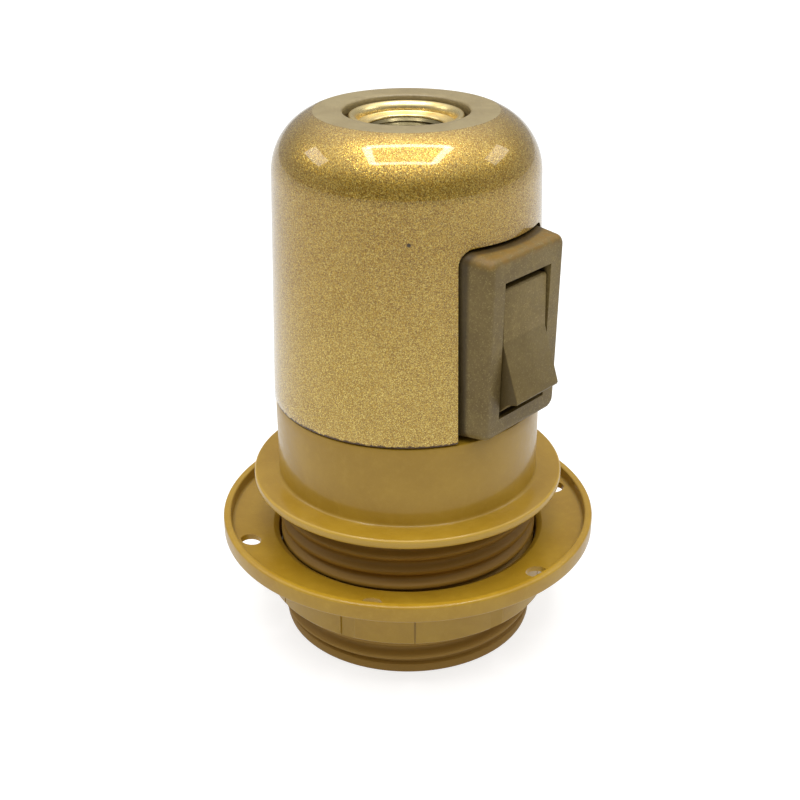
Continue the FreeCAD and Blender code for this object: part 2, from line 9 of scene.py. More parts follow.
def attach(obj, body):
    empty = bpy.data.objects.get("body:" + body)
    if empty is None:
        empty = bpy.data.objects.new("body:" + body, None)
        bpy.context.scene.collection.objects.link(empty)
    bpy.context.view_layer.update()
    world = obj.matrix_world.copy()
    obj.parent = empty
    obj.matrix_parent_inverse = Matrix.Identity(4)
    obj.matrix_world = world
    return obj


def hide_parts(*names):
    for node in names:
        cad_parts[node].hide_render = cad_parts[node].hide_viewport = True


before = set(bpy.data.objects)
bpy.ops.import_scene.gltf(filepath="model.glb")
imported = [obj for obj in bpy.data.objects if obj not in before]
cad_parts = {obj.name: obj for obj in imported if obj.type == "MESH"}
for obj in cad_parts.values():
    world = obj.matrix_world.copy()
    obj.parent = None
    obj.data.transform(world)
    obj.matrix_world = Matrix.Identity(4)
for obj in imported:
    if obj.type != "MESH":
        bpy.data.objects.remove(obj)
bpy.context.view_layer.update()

MM = 0.001
SEG = 288

# ------------------------------------------------------------------ dimensions, mm, as the solids have them
H_TOTAL = 80.6
CAP_Z0, CAP_R0, CAP_R1, CAP_Z1 = 38.5, 20.0, 18.93, 72.07
CAP_FLAT_R, CAP_WALL = 12.92, 1.8
CAP_HOLE_R, CAP_WEB_Z, CAP_WEB_T, CAP_WEB_HOLE_R, CAP_CUP_R = 8.95, 77.3, 1.8, 6.7, 10.6
SK_LEDGE_Z, SK_R, SK_SPIGOT_R, SK_SPIGOT_Z = 38.3, 19.8, 18.05, 43.5
FL_R, FL_Z0, FL_Z1 = 23.65, 24.46, 25.9
TH_R, TH_ROOT_R, TH_PITCH = 20.0, 18.85, 2.5
E27_R, E27_TUBE_R, E27_TUBE_Z, E27_THREAD_Z, RIM_T = 13.3, 14.9, 22.0, 17.0, 1.9
RG_R, RG_TOP_Z, RG_RIM_T, RG_RIM_Z0 = 28.88, 18.45, 1.2, 15.65
RG_HUB_R, RG_HUB_Z, RG_BORE_R, RG_HOLE_R, RG_HOLE_PCR = 22.3, 7.23, 20.35, 1.55, 25.3
RG_HOLE_AZ, RG_NOTCH_AZ = -0.5, -12.1
SW_FACE_Y, SW_FACE_TILT, SW_W, SW_DRAFT, SW_BACK_Y, SW_ZC = -21.45, 1.25, 16.20, 0.1124, -15.4, 51.85
SW_Z0, SW_Z1, SW_Z0_BACK, SW_Z1_BACK, SLOT_TOP = 39.2, 65.55, 38.55, 66.05, 66.4
SW_OPEN_W, SW_OPEN_Z0, SW_OPEN_Z1, SW_PLATE_T, PIV_Y = 10.2, 41.95, 61.95, 1.6, -15.16
RK_W, RK_THROW, RK_PIN_R, PL_R = 9.6, 20.0, 1.2, 1.15
EB_BORE_R, EB_RIM_R, EB_TOP_Z, EB_SHANK_R, EB_TAIL_Z = 5.0, 8.0, 80.05, 6.6, 65.5
GRUB_Z, BEAD_Z = 68.0, 41.7
CAM_AZ = -48.7          # the main view's azimuth, from -Y towards +X

scene = bpy.context.scene
coll = scene.collection


# ------------------------------------------------------------------ mesh tools
def obj_from(name, verts, faces, mm=True):
    me = bpy.data.meshes.new(name)
    v = np.asarray(verts, dtype=float) * (MM if mm else 1.0)
    me.from_pydata(v.tolist(), [], [tuple(int(i) for i in f) for f in faces])
    me.update()
    o = bpy.data.objects.new(name, me)
    coll.objects.link(o)
    return o


def outward(bm):
    """All faces of a closed mesh turned outwards."""
    bmesh.ops.recalc_face_normals(bm, faces=bm.faces)
    if bm.calc_volume(signed=True) < 0:
        bmesh.ops.reverse_faces(bm, faces=bm.faces)


def fix_normals(o):
    bm = bmesh.new()
    bm.from_mesh(o.data)
    outward(bm)
    bm.to_mesh(o.data)
    bm.free()


def smooth(o, angle=32.0):
    o.data.shade_smooth()
    o.data.set_sharp_from_angle(angle=math.radians(angle))


def lathe(name, prof, segs=None, mod=None):
    """Closed solid of revolution about Z. prof: closed list of (r, z) in mm. mod(r, z, theta) may change r and z."""
    segs = segs or SEG
    p = np.array(prof, dtype=float)
    n = len(p)
    th = np.arange(segs) * 2 * math.pi / segs
    R = np.repeat(p[:, 0:1], segs, 1)
    Z = np.repeat(p[:, 1:2], segs, 1)
    T = np.repeat(th[None, :], n, 0)
    if mod is not None:
        R, Z = mod(R, Z, T)
    V = np.stack([R * np.cos(T), R * np.sin(T), Z], -1).reshape(-1, 3)
    i = np.arange(n)[:, None]
    j = np.arange(segs)[None, :]
    a = i * segs + j
    b = i * segs + (j + 1) % segs
    c = ((i + 1) % n) * segs + (j + 1) % segs
    d = ((i + 1) % n) * segs + j
    F = np.stack([a, b, c, d], -1).reshape(-1, 4)
    o = obj_from(name, V, F)
    fix_normals(o)
    return o


def arc_pts(r1, z1, r2, z2, n):
    """Points of the arc tangent to the side at (r1, z1) that ends at (r2, z2), both ends included."""
    ph = 2 * math.atan2(r1 - r2, z2 - z1)
    rad = (z2 - z1) / math.sin(ph)
    return [(r1 - rad * (1 - math.cos(ph * k / n)), z1 + rad * math.sin(ph * k / n)) for k in range(n + 1)]


def densify(pts, step):
    """Adds points on straight runs longer than step."""
    out = []
    for k in range(len(pts) - 1):
        a, b = pts[k], pts[k + 1]
        L = math.hypot(b[0] - a[0], b[1] - a[1])
        m = max(1, int(math.ceil(L / step)))
        for q in range(m):
            t = q / m
            out.append((a[0] + (b[0] - a[0]) * t, a[1] + (b[1] - a[1]) * t))
    out.append(pts[-1])
    return out


def round_corner(p0, p1, p2, r, n=4):
    """Points that round the corner p1 of a polyline with radius r."""
    a = np.array(p0, float) - p1
    b = np.array(p2, float) - p1
    la, lb = np.linalg.norm(a), np.linalg.norm(b)
    a /= la
    b /= lb
    ang = math.acos(max(-1, min(1, float(a @ b))))
    t = min(r / math.tan(ang / 2), la * 0.49, lb * 0.49)
    rr = t * math.tan(ang / 2)
    s, e = np.array(p1) + a * t, np.array(p1) + b * t
    bis = (a + b) / np.linalg.norm(a + b)
    c = np.array(p1) + bis * (rr / math.sin(ang / 2))
    a0 = math.atan2(*(s - c)[::-1])
    a1 = math.atan2(*(e - c)[::-1])
    d = (a1 - a0 + math.pi) % (2 * math.pi) - math.pi
    return [(c[0] + rr * math.cos(a0 + d * k / n), c[1] + rr * math.sin(a0 + d * k / n)) for k in range(n + 1)]


def rounded(pts, radii):
    """Closed polyline with each corner rounded by its radius (0 keeps it)."""
    out = []
    n = len(pts)
    for i, p in enumerate(pts):
        r = radii[i] if i < len(radii) else 0
        if r:
            out += round_corner(pts[i - 1], p, pts[(i + 1) % n], r)
        else:
            out.append(p)
    return out


def bm_box(x0, x1, y0, y1, z0, z1):
    bm = bmesh.new()
    bmesh.ops.create_cube(bm, size=1.0)
    for v in bm.verts:
        v.co = Vector(((x0 + x1) / 2 + v.co.x * (x1 - x0), (y0 + y1) / 2 + v.co.y * (y1 - y0), (z0 + z1) / 2 + v.co.z * (z1 - z0)))
    return bm


def bm_hull(front, back, y0, y1):
    """Six-sided solid: x-z corners of the face at y0 and of the face at y1, same order."""
    bm = bmesh.new()
    f = [bm.verts.new((x, y0, z)) for x, z in front]
    k = [bm.verts.new((x, y1, z)) for x, z in back]
    bm.faces.new(f)
    bm.faces.new(k[::-1])
    n = len(f)
    for i in range(n):
        bm.faces.new((f[i], f[(i + 1) % n], k[(i + 1) % n], k[i]))
    bmesh.ops.recalc_face_normals(bm, faces=bm.faces)
    return bm


def bm_obj(bm, name):
    outward(bm)
    for v in bm.verts:
        v.co = v.co * MM
    me = bpy.data.meshes.new(name)
    bm.to_mesh(me)
    bm.free()
    o = bpy.data.objects.new(name, me)
    coll.objects.link(o)
    return o


def box_obj(name, x0, x1, y0, y1, z0, z1):
    return bm_obj(bm_box(x0, x1, y0, y1, z0, z1), name)


def cyl_obj(name, r, p0, p1, n=48):
    """Closed cylinder from p0 to p1, mm."""
    p0, p1 = Vector(p0), Vector(p1)
    bm = bmesh.new()
    bmesh.ops.create_cone(bm, cap_ends=True, segments=n, radius1=r, radius2=r, depth=(p1 - p0).length)
    q = (p1 - p0).to_track_quat('Z', 'Y')
    for v in bm.verts:
        v.co = q @ v.co + (p0 + p1) / 2
    return bm_obj(bm, name)


def prism_obj(name, pts_yz, x0, x1):
    bm = bmesh.new()
    a = [bm.verts.new((x0, y, z)) for y, z in pts_yz]
    b = [bm.verts.new((x1, y, z)) for y, z in pts_yz]
    bm.faces.new(a)
    bm.faces.new(b[::-1])
    n = len(a)
    for i in range(n):
        bm.faces.new((a[i], a[(i + 1) % n], b[(i + 1) % n], b[i]))
    return bm_obj(bm, name)


def turn(o, az):
    o.data.transform(Matrix.Rotation(math.radians(az), 4, 'Z'))
    return o


def boolean(o, cutter, op='DIFFERENCE'):
    m = o.modifiers.new("b", 'BOOLEAN')
    m.operation = op
    m.solver = 'EXACT'
    m.object = cutter
    dg = bpy.context.evaluated_depsgraph_get()
    me = bpy.data.meshes.new_from_object(o.evaluated_get(dg))
    o.modifiers.clear()
    old = o.data
    o.data = me
    bpy.data.meshes.remove(old)
    cm = cutter.data
    bpy.data.objects.remove(cutter)
    bpy.data.meshes.remove(cm)
    return o


def join(objs, name):
    """One object from several closed meshes."""
    bm = bmesh.new()
    for o in objs:
        bm.from_mesh(o.data)
    me = bpy.data.meshes.new(name)
    bm.to_mesh(me)
    bm.free()
    for o in objs:
        d = o.data
        bpy.data.objects.remove(o)
        bpy.data.meshes.remove(d)
    o = bpy.data.objects.new(name, me)
    coll.objects.link(o)
    return o


def sstep(x, a, b):
    t = np.clip((x - a) / (b - a), 0, 1)
    return t * t * (3 - 2 * t)


# ------------------------------------------------------------------ node tools
def newmat(name):
    m = bpy.data.materials.new(name)
    m.use_nodes = True
    nt = m.node_tree
    nt.nodes.clear()
    out = nt.nodes.new('ShaderNodeOutputMaterial')
    bsdf = nt.nodes.new('ShaderNodeBsdfPrincipled')
    nt.links.new(bsdf.outputs[0], out.inputs[0])
    return m, nt, bsdf


def put(nt, sock, val):
    if isinstance(val, bpy.types.NodeSocket):
        nt.links.new(val, sock)
    elif val is not None:
        sock.default_value = val


def math_(nt, op, a, b=None, c=None, clamp=False):
    n = nt.nodes.new('ShaderNodeMath')
    n.operation = op
    n.use_clamp = clamp
    put(nt, n.inputs[0], a)
    if b is not None:
        put(nt, n.inputs[1], b)
    if c is not None:
        put(nt, n.inputs[2], c)
    return n.outputs[0]


def maprange(nt, v, a, b, c=0.0, d=1.0, smooth_=True):
    n = nt.nodes.new('ShaderNodeMapRange')
    n.interpolation_type = 'SMOOTHSTEP' if smooth_ else 'LINEAR'
    n.clamp = True
    put(nt, n.inputs['Value'], v)
    n.inputs['From Min'].default_value = a
    n.inputs['From Max'].default_value = b
    n.inputs['To Min'].default_value = c
    n.inputs['To Max'].default_value = d
    return n.outputs[0]


def mixc(nt, fac, a, b, mode='MIX'):
    n = nt.nodes.new('ShaderNodeMix')
    n.data_type = 'RGBA'
    n.blend_type = mode
    n.clamp_factor = True
    put(nt, n.inputs[0], fac)
    put(nt, n.inputs[6], a)
    put(nt, n.inputs[7], b)
    return n.outputs[2]


def coords(nt, scale=(1, 1, 1)):
    """Row-frame position in millimetres, times scale."""
    tc = nt.nodes.new('ShaderNodeTexCoord')
    mp = nt.nodes.new('ShaderNodeMapping')
    nt.links.new(tc.outputs['Object'], mp.inputs['Vector'])
    mp.inputs['Scale'].default_value = tuple(1000.0 * s for s in scale)
    return mp.outputs[0]


def xyz(nt, vec):
    n = nt.nodes.new('ShaderNodeSeparateXYZ')
    nt.links.new(vec, n.inputs[0])
    return n.outputs


def noise(nt, vec, scale, detail=2.0, rough=0.5, dist=0.0):
    n = nt.nodes.new('ShaderNodeTexNoise')
    nt.links.new(vec, n.inputs['Vector'])
    n.inputs['Scale'].default_value = scale
    n.inputs['Detail'].default_value = detail
    n.inputs['Roughness'].default_value = rough
    n.inputs['Distortion'].default_value = dist
    return n.outputs['Fac'] if 'Fac' in n.outputs else n.outputs[0]


def voronoi(nt, vec, scale, feature='F1', rand=1.0):
    n = nt.nodes.new('ShaderNodeTexVoronoi')
    n.feature = feature
    nt.links.new(vec, n.inputs['Vector'])
    n.inputs['Scale'].default_value = scale
    n.inputs['Randomness'].default_value = rand
    return n


def bump(nt, height, strength, dist_mm, normal=None):
    n = nt.nodes.new('ShaderNodeBump')
    n.inputs['Strength'].default_value = strength
    n.inputs['Distance'].default_value = dist_mm * MM
    nt.links.new(height, n.inputs['Height'])
    if normal is not None:
        nt.links.new(normal, n.inputs['Normal'])
    return n.outputs[0]


def srgb(r, g, b):
    def f(c):
        c /= 255.0
        return c / 12.92 if c <= 0.04045 else ((c + 0.055) / 1.055) ** 2.4
    return (f(r), f(g), f(b), 1.0)


def radius_of(nt, vec):
    s = xyz(nt, vec)
    rr = math_(nt, 'SQRT', math_(nt, 'ADD', math_(nt, 'MULTIPLY', s[0], s[0]), math_(nt, 'MULTIPLY', s[1], s[1])))
    return rr, s


# ------------------------------------------------------------------ materials
def mat_gold_paint():
    """Gold flake lacquer under a clear gloss coat."""
    m, nt, b = newmat("gold_lacquer")
    p = coords(nt)
    rr, s = radius_of(nt, p)
    fl = voronoi(nt, p, 8.6)                       # flakes about 0.12 mm across
    fl2 = voronoi(nt, p, 11.5)
    cloud = noise(nt, p, 0.16, 3.0, 0.6)
    mott = noise(nt, p, 1.7, 2.0, 0.6)
    sepc = nt.nodes.new('ShaderNodeSeparateColor')
    nt.links.new(fl.outputs['Color'], sepc.inputs[0])
    sepd = nt.nodes.new('ShaderNodeSeparateColor')
    nt.links.new(fl2.outputs['Color'], sepd.inputs[0])
    lo = srgb(124, 88, 17)
    mid = srgb(177, 139, 36)
    hi = srgb(234, 210, 114)
    low = maprange(nt, s[2], 68.0, 44.0, 0.0, 1.0)
    c = mixc(nt, maprange(nt, sepc.outputs[0], 0.0, 1.0), lo, mid)
    c = mixc(nt, math_(nt, 'MULTIPLY', maprange(nt, sepd.outputs[1], 0.60, 0.95), math_(nt, 'MULTIPLY_ADD', low, 0.35, 0.65)), c, hi)
    c = mixc(nt, maprange(nt, mott, 0.35, 0.75, 0.0, 0.10), c, srgb(150, 116, 40))
    c = mixc(nt, maprange(nt, cloud, 0.3, 0.7, 0.0, 0.10), c, srgb(210, 180, 100))
    # lower part carries slightly paler, coarser flake
    # slightly paler towards the bottom, below z 68
    c = mixc(nt, math_(nt, 'MULTIPLY', low, 0.12), c, srgb(204, 174, 74))
    # ragged bare line at the lower edge and at the flat top's edge
    rag = noise(nt, p, 1.3, 3.0, 0.75)
    edge_h = math_(nt, 'ADD', s[2], math_(nt, 'MULTIPLY', math_(nt, 'SUBTRACT', rag, 0.5), 1.0))
    bare_low = maprange(nt, edge_h, CAP_Z0 + 0.34, CAP_Z0 + 0.26, 0.0, 1.0, False)
    rim_r = math_(nt, 'ADD', rr, math_(nt, 'MULTIPLY', math_(nt, 'SUBTRACT', rag, 0.5), 1.1))
    top_z = maprange(nt, s[2], H_TOTAL - 0.6, H_TOTAL - 0.2)
    bare_top = math_(nt, 'MULTIPLY', top_z, maprange(nt, rim_r, CAP_FLAT_R + 0.30, CAP_FLAT_R + 0.22, 0.0, 1.0, False))
    cq = ROT_CAM @ Vector((0, -1, 0))
    toward = math_(nt, 'ADD', math_(nt, 'MULTIPLY', s[0], cq.x), math_(nt, 'MULTIPLY', s[1], cq.y))
    chips = maprange(nt, noise(nt, p, 0.75, 2.0, 0.5), 0.47, 0.53)
    bare_top = math_(nt, 'MULTIPLY', bare_top, math_(nt, 'MULTIPLY', maprange(nt, toward, -1.5, -4.5), chips))
    bare = math_(nt, 'MAXIMUM', bare_low, bare_top)
    # specks of dirt under the coat
    for sa, sz, sr, st, scol in ((0.7, 67.6, 0.36, 0.95, (30, 22, 10)), (-2.4, 78.9, 0.22, 0.8, (92, 66, 26)), (62.0, 50.0, 0.25, 0.7, (84, 60, 24)),
                                 (-118.0, 64.0, 0.3, 0.85, (60, 44, 18)), (171.0, 55.5, 0.28, 0.8, (70, 50, 20)), (118.0, 70.0, 0.24, 0.8, (78, 56, 22))):
        q = math.radians(sa + CAM_AZ)
        R_at = CAP_R0 + (CAP_R1 - CAP_R0) * (min(sz, CAP_Z1) - CAP_Z0) / (CAP_Z1 - CAP_Z0)
        if sz > CAP_Z1:
            R_at = 15.4
        vd = nt.nodes.new('ShaderNodeVectorMath')
        vd.operation = 'DISTANCE'
        nt.links.new(p, vd.inputs[0])
        vd.inputs[1].default_value = (R_at * math.sin(q), -R_at * math.cos(q), sz)
        wob = math_(nt, 'ADD', vd.outputs['Value'], math_(nt, 'MULTIPLY', math_(nt, 'SUBTRACT', mott, 0.5), 0.35))
        c = mixc(nt, maprange(nt, wob, sr, sr * 0.6, 0.0, st, False), c, srgb(*scol))
    c = mixc(nt, bare, c, srgb(76, 52, 20))
    put(nt, b.inputs['Base Color'], c)
    put(nt, b.inputs['Metallic'], mixf(nt, bare, maprange(nt, sepc.outputs[2], 0.0, 1.0, 0.55, 0.9), 0.0))
    put(nt, b.inputs['Roughness'], maprange(nt, sepc.outputs[1], 0.0, 1.0, 0.26, 0.42))
    # each flake tilts its own way
    vm = nt.nodes.new('ShaderNodeVectorMath')
    vm.operation = 'SUBTRACT'
    nt.links.new(fl.outputs['Color'], vm.inputs[0])
    vm.inputs[1].default_value = (0.5, 0.5, 0.5)
    vs = nt.nodes.new('ShaderNodeVectorMath')
    vs.operation = 'SCALE'
    nt.links.new(vm.outputs[0], vs.inputs[0])
    vs.inputs['Scale'].default_value = 0.25
    ge = nt.nodes.new('ShaderNodeNewGeometry')
    va = nt.nodes.new('ShaderNodeVectorMath')
    va.operation = 'ADD'
    nt.links.new(ge.outputs['Normal'], va.inputs[0])
    nt.links.new(vs.outputs[0], va.inputs[1])
    vn = nt.nodes.new('ShaderNodeVectorMath')
    vn.operation = 'NORMALIZE'
    nt.links.new(va.outputs[0], vn.inputs[0])
    put(nt, b.inputs['Normal'], vn.outputs[0])
    put(nt, b.inputs['Coat Weight'], mixf(nt, bare, 1.0, 0.0))
    b.inputs['Coat Roughness'].default_value = 0.05
    b.inputs['Coat IOR'].default_value = 1.5
    peel = noise(nt, p, 0.9, 2.0, 0.5)
    put(nt, b.inputs['Coat Normal'], bump(nt, peel, 0.06, 0.05))
    return m


def mixf(nt, fac, a, b):
    n = nt.nodes.new('ShaderNodeMix')
    n.data_type = 'FLOAT'
    n.clamp_factor = True
    put(nt, n.inputs[0], fac)
    put(nt, n.inputs[2], a)
    put(nt, n.inputs[3], b)
    return n.outputs[0]


def mat_moulded(name, base, dark, light, rough=(0.32, 0.45), grain=0.10, coat=0.0, coat_r=0.1, spec=0.5, fleck=0.25, fine=6.0, darker=None, matt=None):
    """Moulded plastic with pigment flecks, soft clouding and a fine moulding texture."""
    m, nt, b = newmat(name)
    p = coords(nt)
    rr, s = radius_of(nt, p)
    cloud = noise(nt, p, 0.12, 4.0, 0.6, 0.4)
    mid = noise(nt, p, 0.9, 3.0, 0.6)
    fine_n = noise(nt, p, fine, 2.0, 0.6)
    vor = voronoi(nt, p, fine * 0.8)
    sc = nt.nodes.new('ShaderNodeSeparateColor')
    nt.links.new(vor.outputs['Color'], sc.inputs[0])
    c = mixc(nt, maprange(nt, cloud, 0.3, 0.7), dark, base)
    c = mixc(nt, maprange(nt, mid, 0.45, 0.8, 0.0, 0.35), c, light)
    c = mixc(nt, maprange(nt, sc.outputs[0], 0.75, 1.0, 0.0, fleck), c, light)
    c = mixc(nt, maprange(nt, sc.outputs[1], 0.75, 1.0, 0.0, fleck), c, dark)
    if darker is not None:
        c = darker(nt, p, rr, s, c)
    put(nt, b.inputs['Base Color'], c)
    rg = maprange(nt, mid, 0.3, 0.7, rough[0], rough[1])
    cw = coat
    if matt is not None:
        k = matt(nt, rr, s)
        rg = mixf(nt, k, rg, 0.52)
        cw = mixf(nt, k, coat, 0.0)
    put(nt, b.inputs['Roughness'], rg)
    hgt = math_(nt, 'ADD', math_(nt, 'MULTIPLY', fine_n, 0.6), math_(nt, 'MULTIPLY', mid, 0.8))
    put(nt, b.inputs['Normal'], bump(nt, hgt, grain, 0.08))
    b.inputs['Specular IOR Level'].default_value = spec
    put(nt, b.inputs['Coat Weight'], cw)
    b.inputs['Coat Roughness'].default_value = coat_r
    return m


def mat_metal(name, base, dark, rough=(0.16, 0.30), turned=True, lines=14.0, grain=0.10, tone=None):
    """Metal with turning or drawing lines and slight tarnish."""
    m, nt, b = newmat(name)
    p = coords(nt)
    rr, s = radius_of(nt, p)
    cmb = nt.nodes.new('ShaderNodeCombineXYZ')
    if turned:
        nt.links.new(rr, cmb.inputs[0])
        nt.links.new(s[2], cmb.inputs[2])
    else:
        nt.links.new(math_(nt, 'MULTIPLY', s[0], 0.12), cmb.inputs[0])
        nt.links.new(s[1], cmb.inputs[1])
        nt.links.new(math_(nt, 'MULTIPLY', s[2], 0.3), cmb.inputs[2])
    ln = noise(nt, cmb.outputs[0], lines, 2.0, 0.6)
    tarn = noise(nt, p, 0.5, 4.0, 0.65)
    fine = noise(nt, p, 9.0, 2.0, 0.6)
    c = mixc(nt, maprange(nt, tarn, 0.4, 0.75, 0.0, 0.6), base, dark)
    c = mixc(nt, maprange(nt, fine, 0.4, 0.8, 0.0, 0.15), c, dark)
    if tone is not None:
        c = tone(nt, rr, s, c)
    put(nt, b.inputs['Base Color'], c)
    b.inputs['Metallic'].default_value = 1.0
    put(nt, b.inputs['Roughness'], maprange(nt, math_(nt, 'ADD', math_(nt, 'MULTIPLY', ln, 0.6), math_(nt, 'MULTIPLY', tarn, 0.4)), 0.3, 0.7, rough[0], rough[1]))
    put(nt, b.inputs['Normal'], bump(nt, math_(nt, 'ADD', ln, math_(nt, 'MULTIPLY', fine, 0.4)), grain, 0.05))
    return m


def bore_tone_and_painted_shade(nt, rr, s, c):
    """Darker grey-brown down the threaded bore and on the shank, and painted shade, near black, further down the bore.
    """
    deep = maprange(nt, s[2], EB_TOP_Z - 1.55, EB_TOP_Z - 1.95)
    c = mixc(nt, math_(nt, 'MULTIPLY', deep, 0.90), c, srgb(84, 78, 58))
    # painted shade: the bore's wall below the thread goes near black
    bore_painted_shade = math_(nt, 'MULTIPLY', maprange(nt, s[2], EB_TOP_Z - 2.2, EB_TOP_Z - 3.2), maprange(nt, rr, EB_BORE_R + 0.5, EB_BORE_R + 0.3))
    return mixc(nt, math_(nt, 'MULTIPLY', bore_painted_shade, 0.8), c, srgb(28, 25, 18))


def skirt_tone_painted_shade_and_highlight(nt, p, rr, s, c):
    """Browner, duller tone on the threaded barrel, with painted shade in the grooves and a painted highlight on the
    flange's outer edge.
    """
    zone = maprange(nt, s[2], FL_Z0 - 0.1, FL_Z0 - 0.5)
    outer = maprange(nt, rr, 17.5, 18.2)
    groove = maprange(nt, rr, TH_R - 0.05, TH_ROOT_R + 0.1)
    k = math_(nt, 'MULTIPLY', zone, outer)
    c = mixc(nt, math_(nt, 'MULTIPLY', k, 0.75), c, srgb(148, 111, 44))
    # painted shade in the thread grooves
    c = mixc(nt, math_(nt, 'MULTIPLY', math_(nt, 'MULTIPLY', k, groove), 0.3), c, srgb(116, 84, 30))
    # painted highlight: the flange's outer edge made lighter
    rim = math_(nt, 'MULTIPLY', maprange(nt, rr, FL_R - 0.4, FL_R - 0.1), maprange(nt, s[2], FL_Z0 - 0.1, FL_Z0 + 0.1))
    c = mixc(nt, math_(nt, 'MULTIPLY', rim, 0.55), c, srgb(200, 163, 66))
    return c


def bezel_painted_light_and_shade(nt, p, rr, s, c):
    """Warmer patches along the upper edge, a painted reflection of the gold cap; painted shade inside the opening and
    where the frame enters the slot; a painted shadow of the rocker's lower end beside it.
    """
    patch_noise = noise(nt, p, 0.55, 4.0, 0.7)
    # painted reflection of the gold cap: a warmer, patchy tone along the bezel's upper edge
    up = maprange(nt, math_(nt, 'ADD', s[2], math_(nt, 'MULTIPLY', patch_noise, 1.6)), SW_Z1 - 0.6, SW_Z1 + 0.6)
    c = mixc(nt, math_(nt, 'MULTIPLY', up, maprange(nt, patch_noise, 0.35, 0.62, 0.2, 0.9)), c, srgb(126, 96, 38))
    # painted shade inside the switch opening
    inside = maprange(nt, s[1], SW_FACE_Y + 0.55, SW_FACE_Y + 1.0)
    in_x = maprange(nt, math_(nt, 'ABSOLUTE', s[0]), SW_OPEN_W / 2 + 0.35, SW_OPEN_W / 2 + 0.25)
    in_z = math_(nt, 'MULTIPLY', maprange(nt, s[2], SW_OPEN_Z0 - 0.35, SW_OPEN_Z0 - 0.25), maprange(nt, s[2], SW_OPEN_Z1 + 0.35, SW_OPEN_Z1 + 0.25))
    hole = math_(nt, 'MULTIPLY', inside, math_(nt, 'MULTIPLY', in_x, in_z))
    c = mixc(nt, math_(nt, 'MULTIPLY', hole, 0.75), c, srgb(46, 34, 16))
    # painted shadow of the rocker's lower end, on the face beside it
    gx = maprange(nt, s[0], -SW_OPEN_W / 2 - 2.3, -SW_OPEN_W / 2 - 0.9)
    gx = math_(nt, 'MULTIPLY', gx, maprange(nt, s[0], 0.0, -1.0))
    gz = math_(nt, 'MULTIPLY', maprange(nt, s[2], 42.2, 44.6), maprange(nt, s[2], 52.5, 47.5))
    gy = maprange(nt, s[1], SW_FACE_Y + 0.9, SW_FACE_Y + 0.4)
    c = mixc(nt, math_(nt, 'MULTIPLY', math_(nt, 'MULTIPLY', gx, math_(nt, 'MULTIPLY', gz, gy)), 0.42), c, srgb(62, 48, 26))
    # painted shade where the frame enters the cap's slot
    back = maprange(nt, rr, CAP_R0 + 0.35, CAP_R0 - 0.35)
    c = mixc(nt, math_(nt, 'MULTIPLY', back, 0.72), c, srgb(48, 36, 18))
    return c


def rocker_painted_shade(nt, p, rr, s, c):
    """Painted shade: side faces and sunk parts are duller and darker than the two thumb faces, and the lower thumb
    face darker than the upper one.
    """
    # painted shade on the rocker's side faces
    side = maprange(nt, math_(nt, 'ABSOLUTE', s[0]), RK_W / 2 - 0.10, RK_W / 2 - 0.02)
    c = mixc(nt, math_(nt, 'MULTIPLY', side, 0.62), c, srgb(52, 38, 18))
    # painted shade on the parts sunk into the opening
    deep = maprange(nt, s[1], SW_FACE_Y + 0.9, SW_FACE_Y + 1.9)
    c = mixc(nt, math_(nt, 'MULTIPLY', deep, 0.7), c, srgb(44, 33, 15))
    # painted shade on the lower thumb face, below the fold
    patch_noise = noise(nt, p, 0.6, 3.0, 0.6)
    lower = maprange(nt, math_(nt, 'ADD', s[2], math_(nt, 'MULTIPLY', patch_noise, 0.25)), SW_ZC + 1.75, SW_ZC + 1.4)
    c = mixc(nt, math_(nt, 'MULTIPLY', lower, 0.34), c, srgb(84, 69, 28))
    return c


def thread_matt(nt, rr, s):
    return math_(nt, 'MULTIPLY', maprange(nt, s[2], FL_Z0 - 0.1, FL_Z0 - 0.5), maprange(nt, rr, 17.5, 18.2))


ROT_CAM = Matrix.Rotation(math.radians(CAM_AZ), 4, 'Z')
M_PAINT = mat_gold_paint()
M_RAWTOP = mat_moulded("bare_top_plastic", srgb(146, 131, 92), srgb(132, 116, 78), srgb(160, 144, 106), rough=(0.30, 0.42), grain=0.10, spec=0.6, fleck=0.3)
M_INNER = mat_moulded("cap_inside_plastic", srgb(120, 100, 62), srgb(100, 82, 48), srgb(138, 118, 78), rough=(0.4, 0.55), grain=0.12)
M_SWITCH = mat_moulded("switch_plastic", srgb(123, 105, 61), srgb(102, 84, 44), srgb(148, 131, 82), rough=(0.42, 0.54), grain=0.20, spec=0.35, fleck=0.6, fine=8.0, darker=bezel_painted_light_and_shade)
M_ROCKER = mat_moulded("rocker_plastic", srgb(128, 110, 66), srgb(107, 89, 48), srgb(150, 133, 84), rough=(0.42, 0.54), grain=0.20, spec=0.3, fleck=0.6, fine=8.0, darker=rocker_painted_shade)
M_SKIRT = mat_moulded("skirt_plastic", srgb(165, 130, 36), srgb(155, 120, 28), srgb(176, 142, 52), rough=(0.28, 0.38), grain=0.05, coat=0.32, coat_r=0.08, spec=0.30, fleck=0.12, fine=7.0, darker=skirt_tone_painted_shade_and_highlight, matt=thread_matt)
M_RING = mat_moulded("ring_plastic", srgb(172, 136, 36), srgb(161, 124, 27), srgb(183, 148, 52), rough=(0.28, 0.38), grain=0.05, coat=0.30, coat_r=0.09, spec=0.30, fleck=0.10, fine=7.0)
M_BUSH = mat_metal("bush_metal", srgb(244, 222, 160), srgb(216, 188, 118), rough=(0.24, 0.36), turned=True, lines=10.0, grain=0.10, tone=bore_tone_and_painted_shade)
M_BRASS = mat_metal("terminal_brass", srgb(222, 186, 112), srgb(176, 138, 72), rough=(0.22, 0.38), turned=False)
M_BRONZE = mat_metal("bronze_strip", srgb(206, 150, 92), srgb(150, 100, 56), rough=(0.22, 0.36), turned=False)
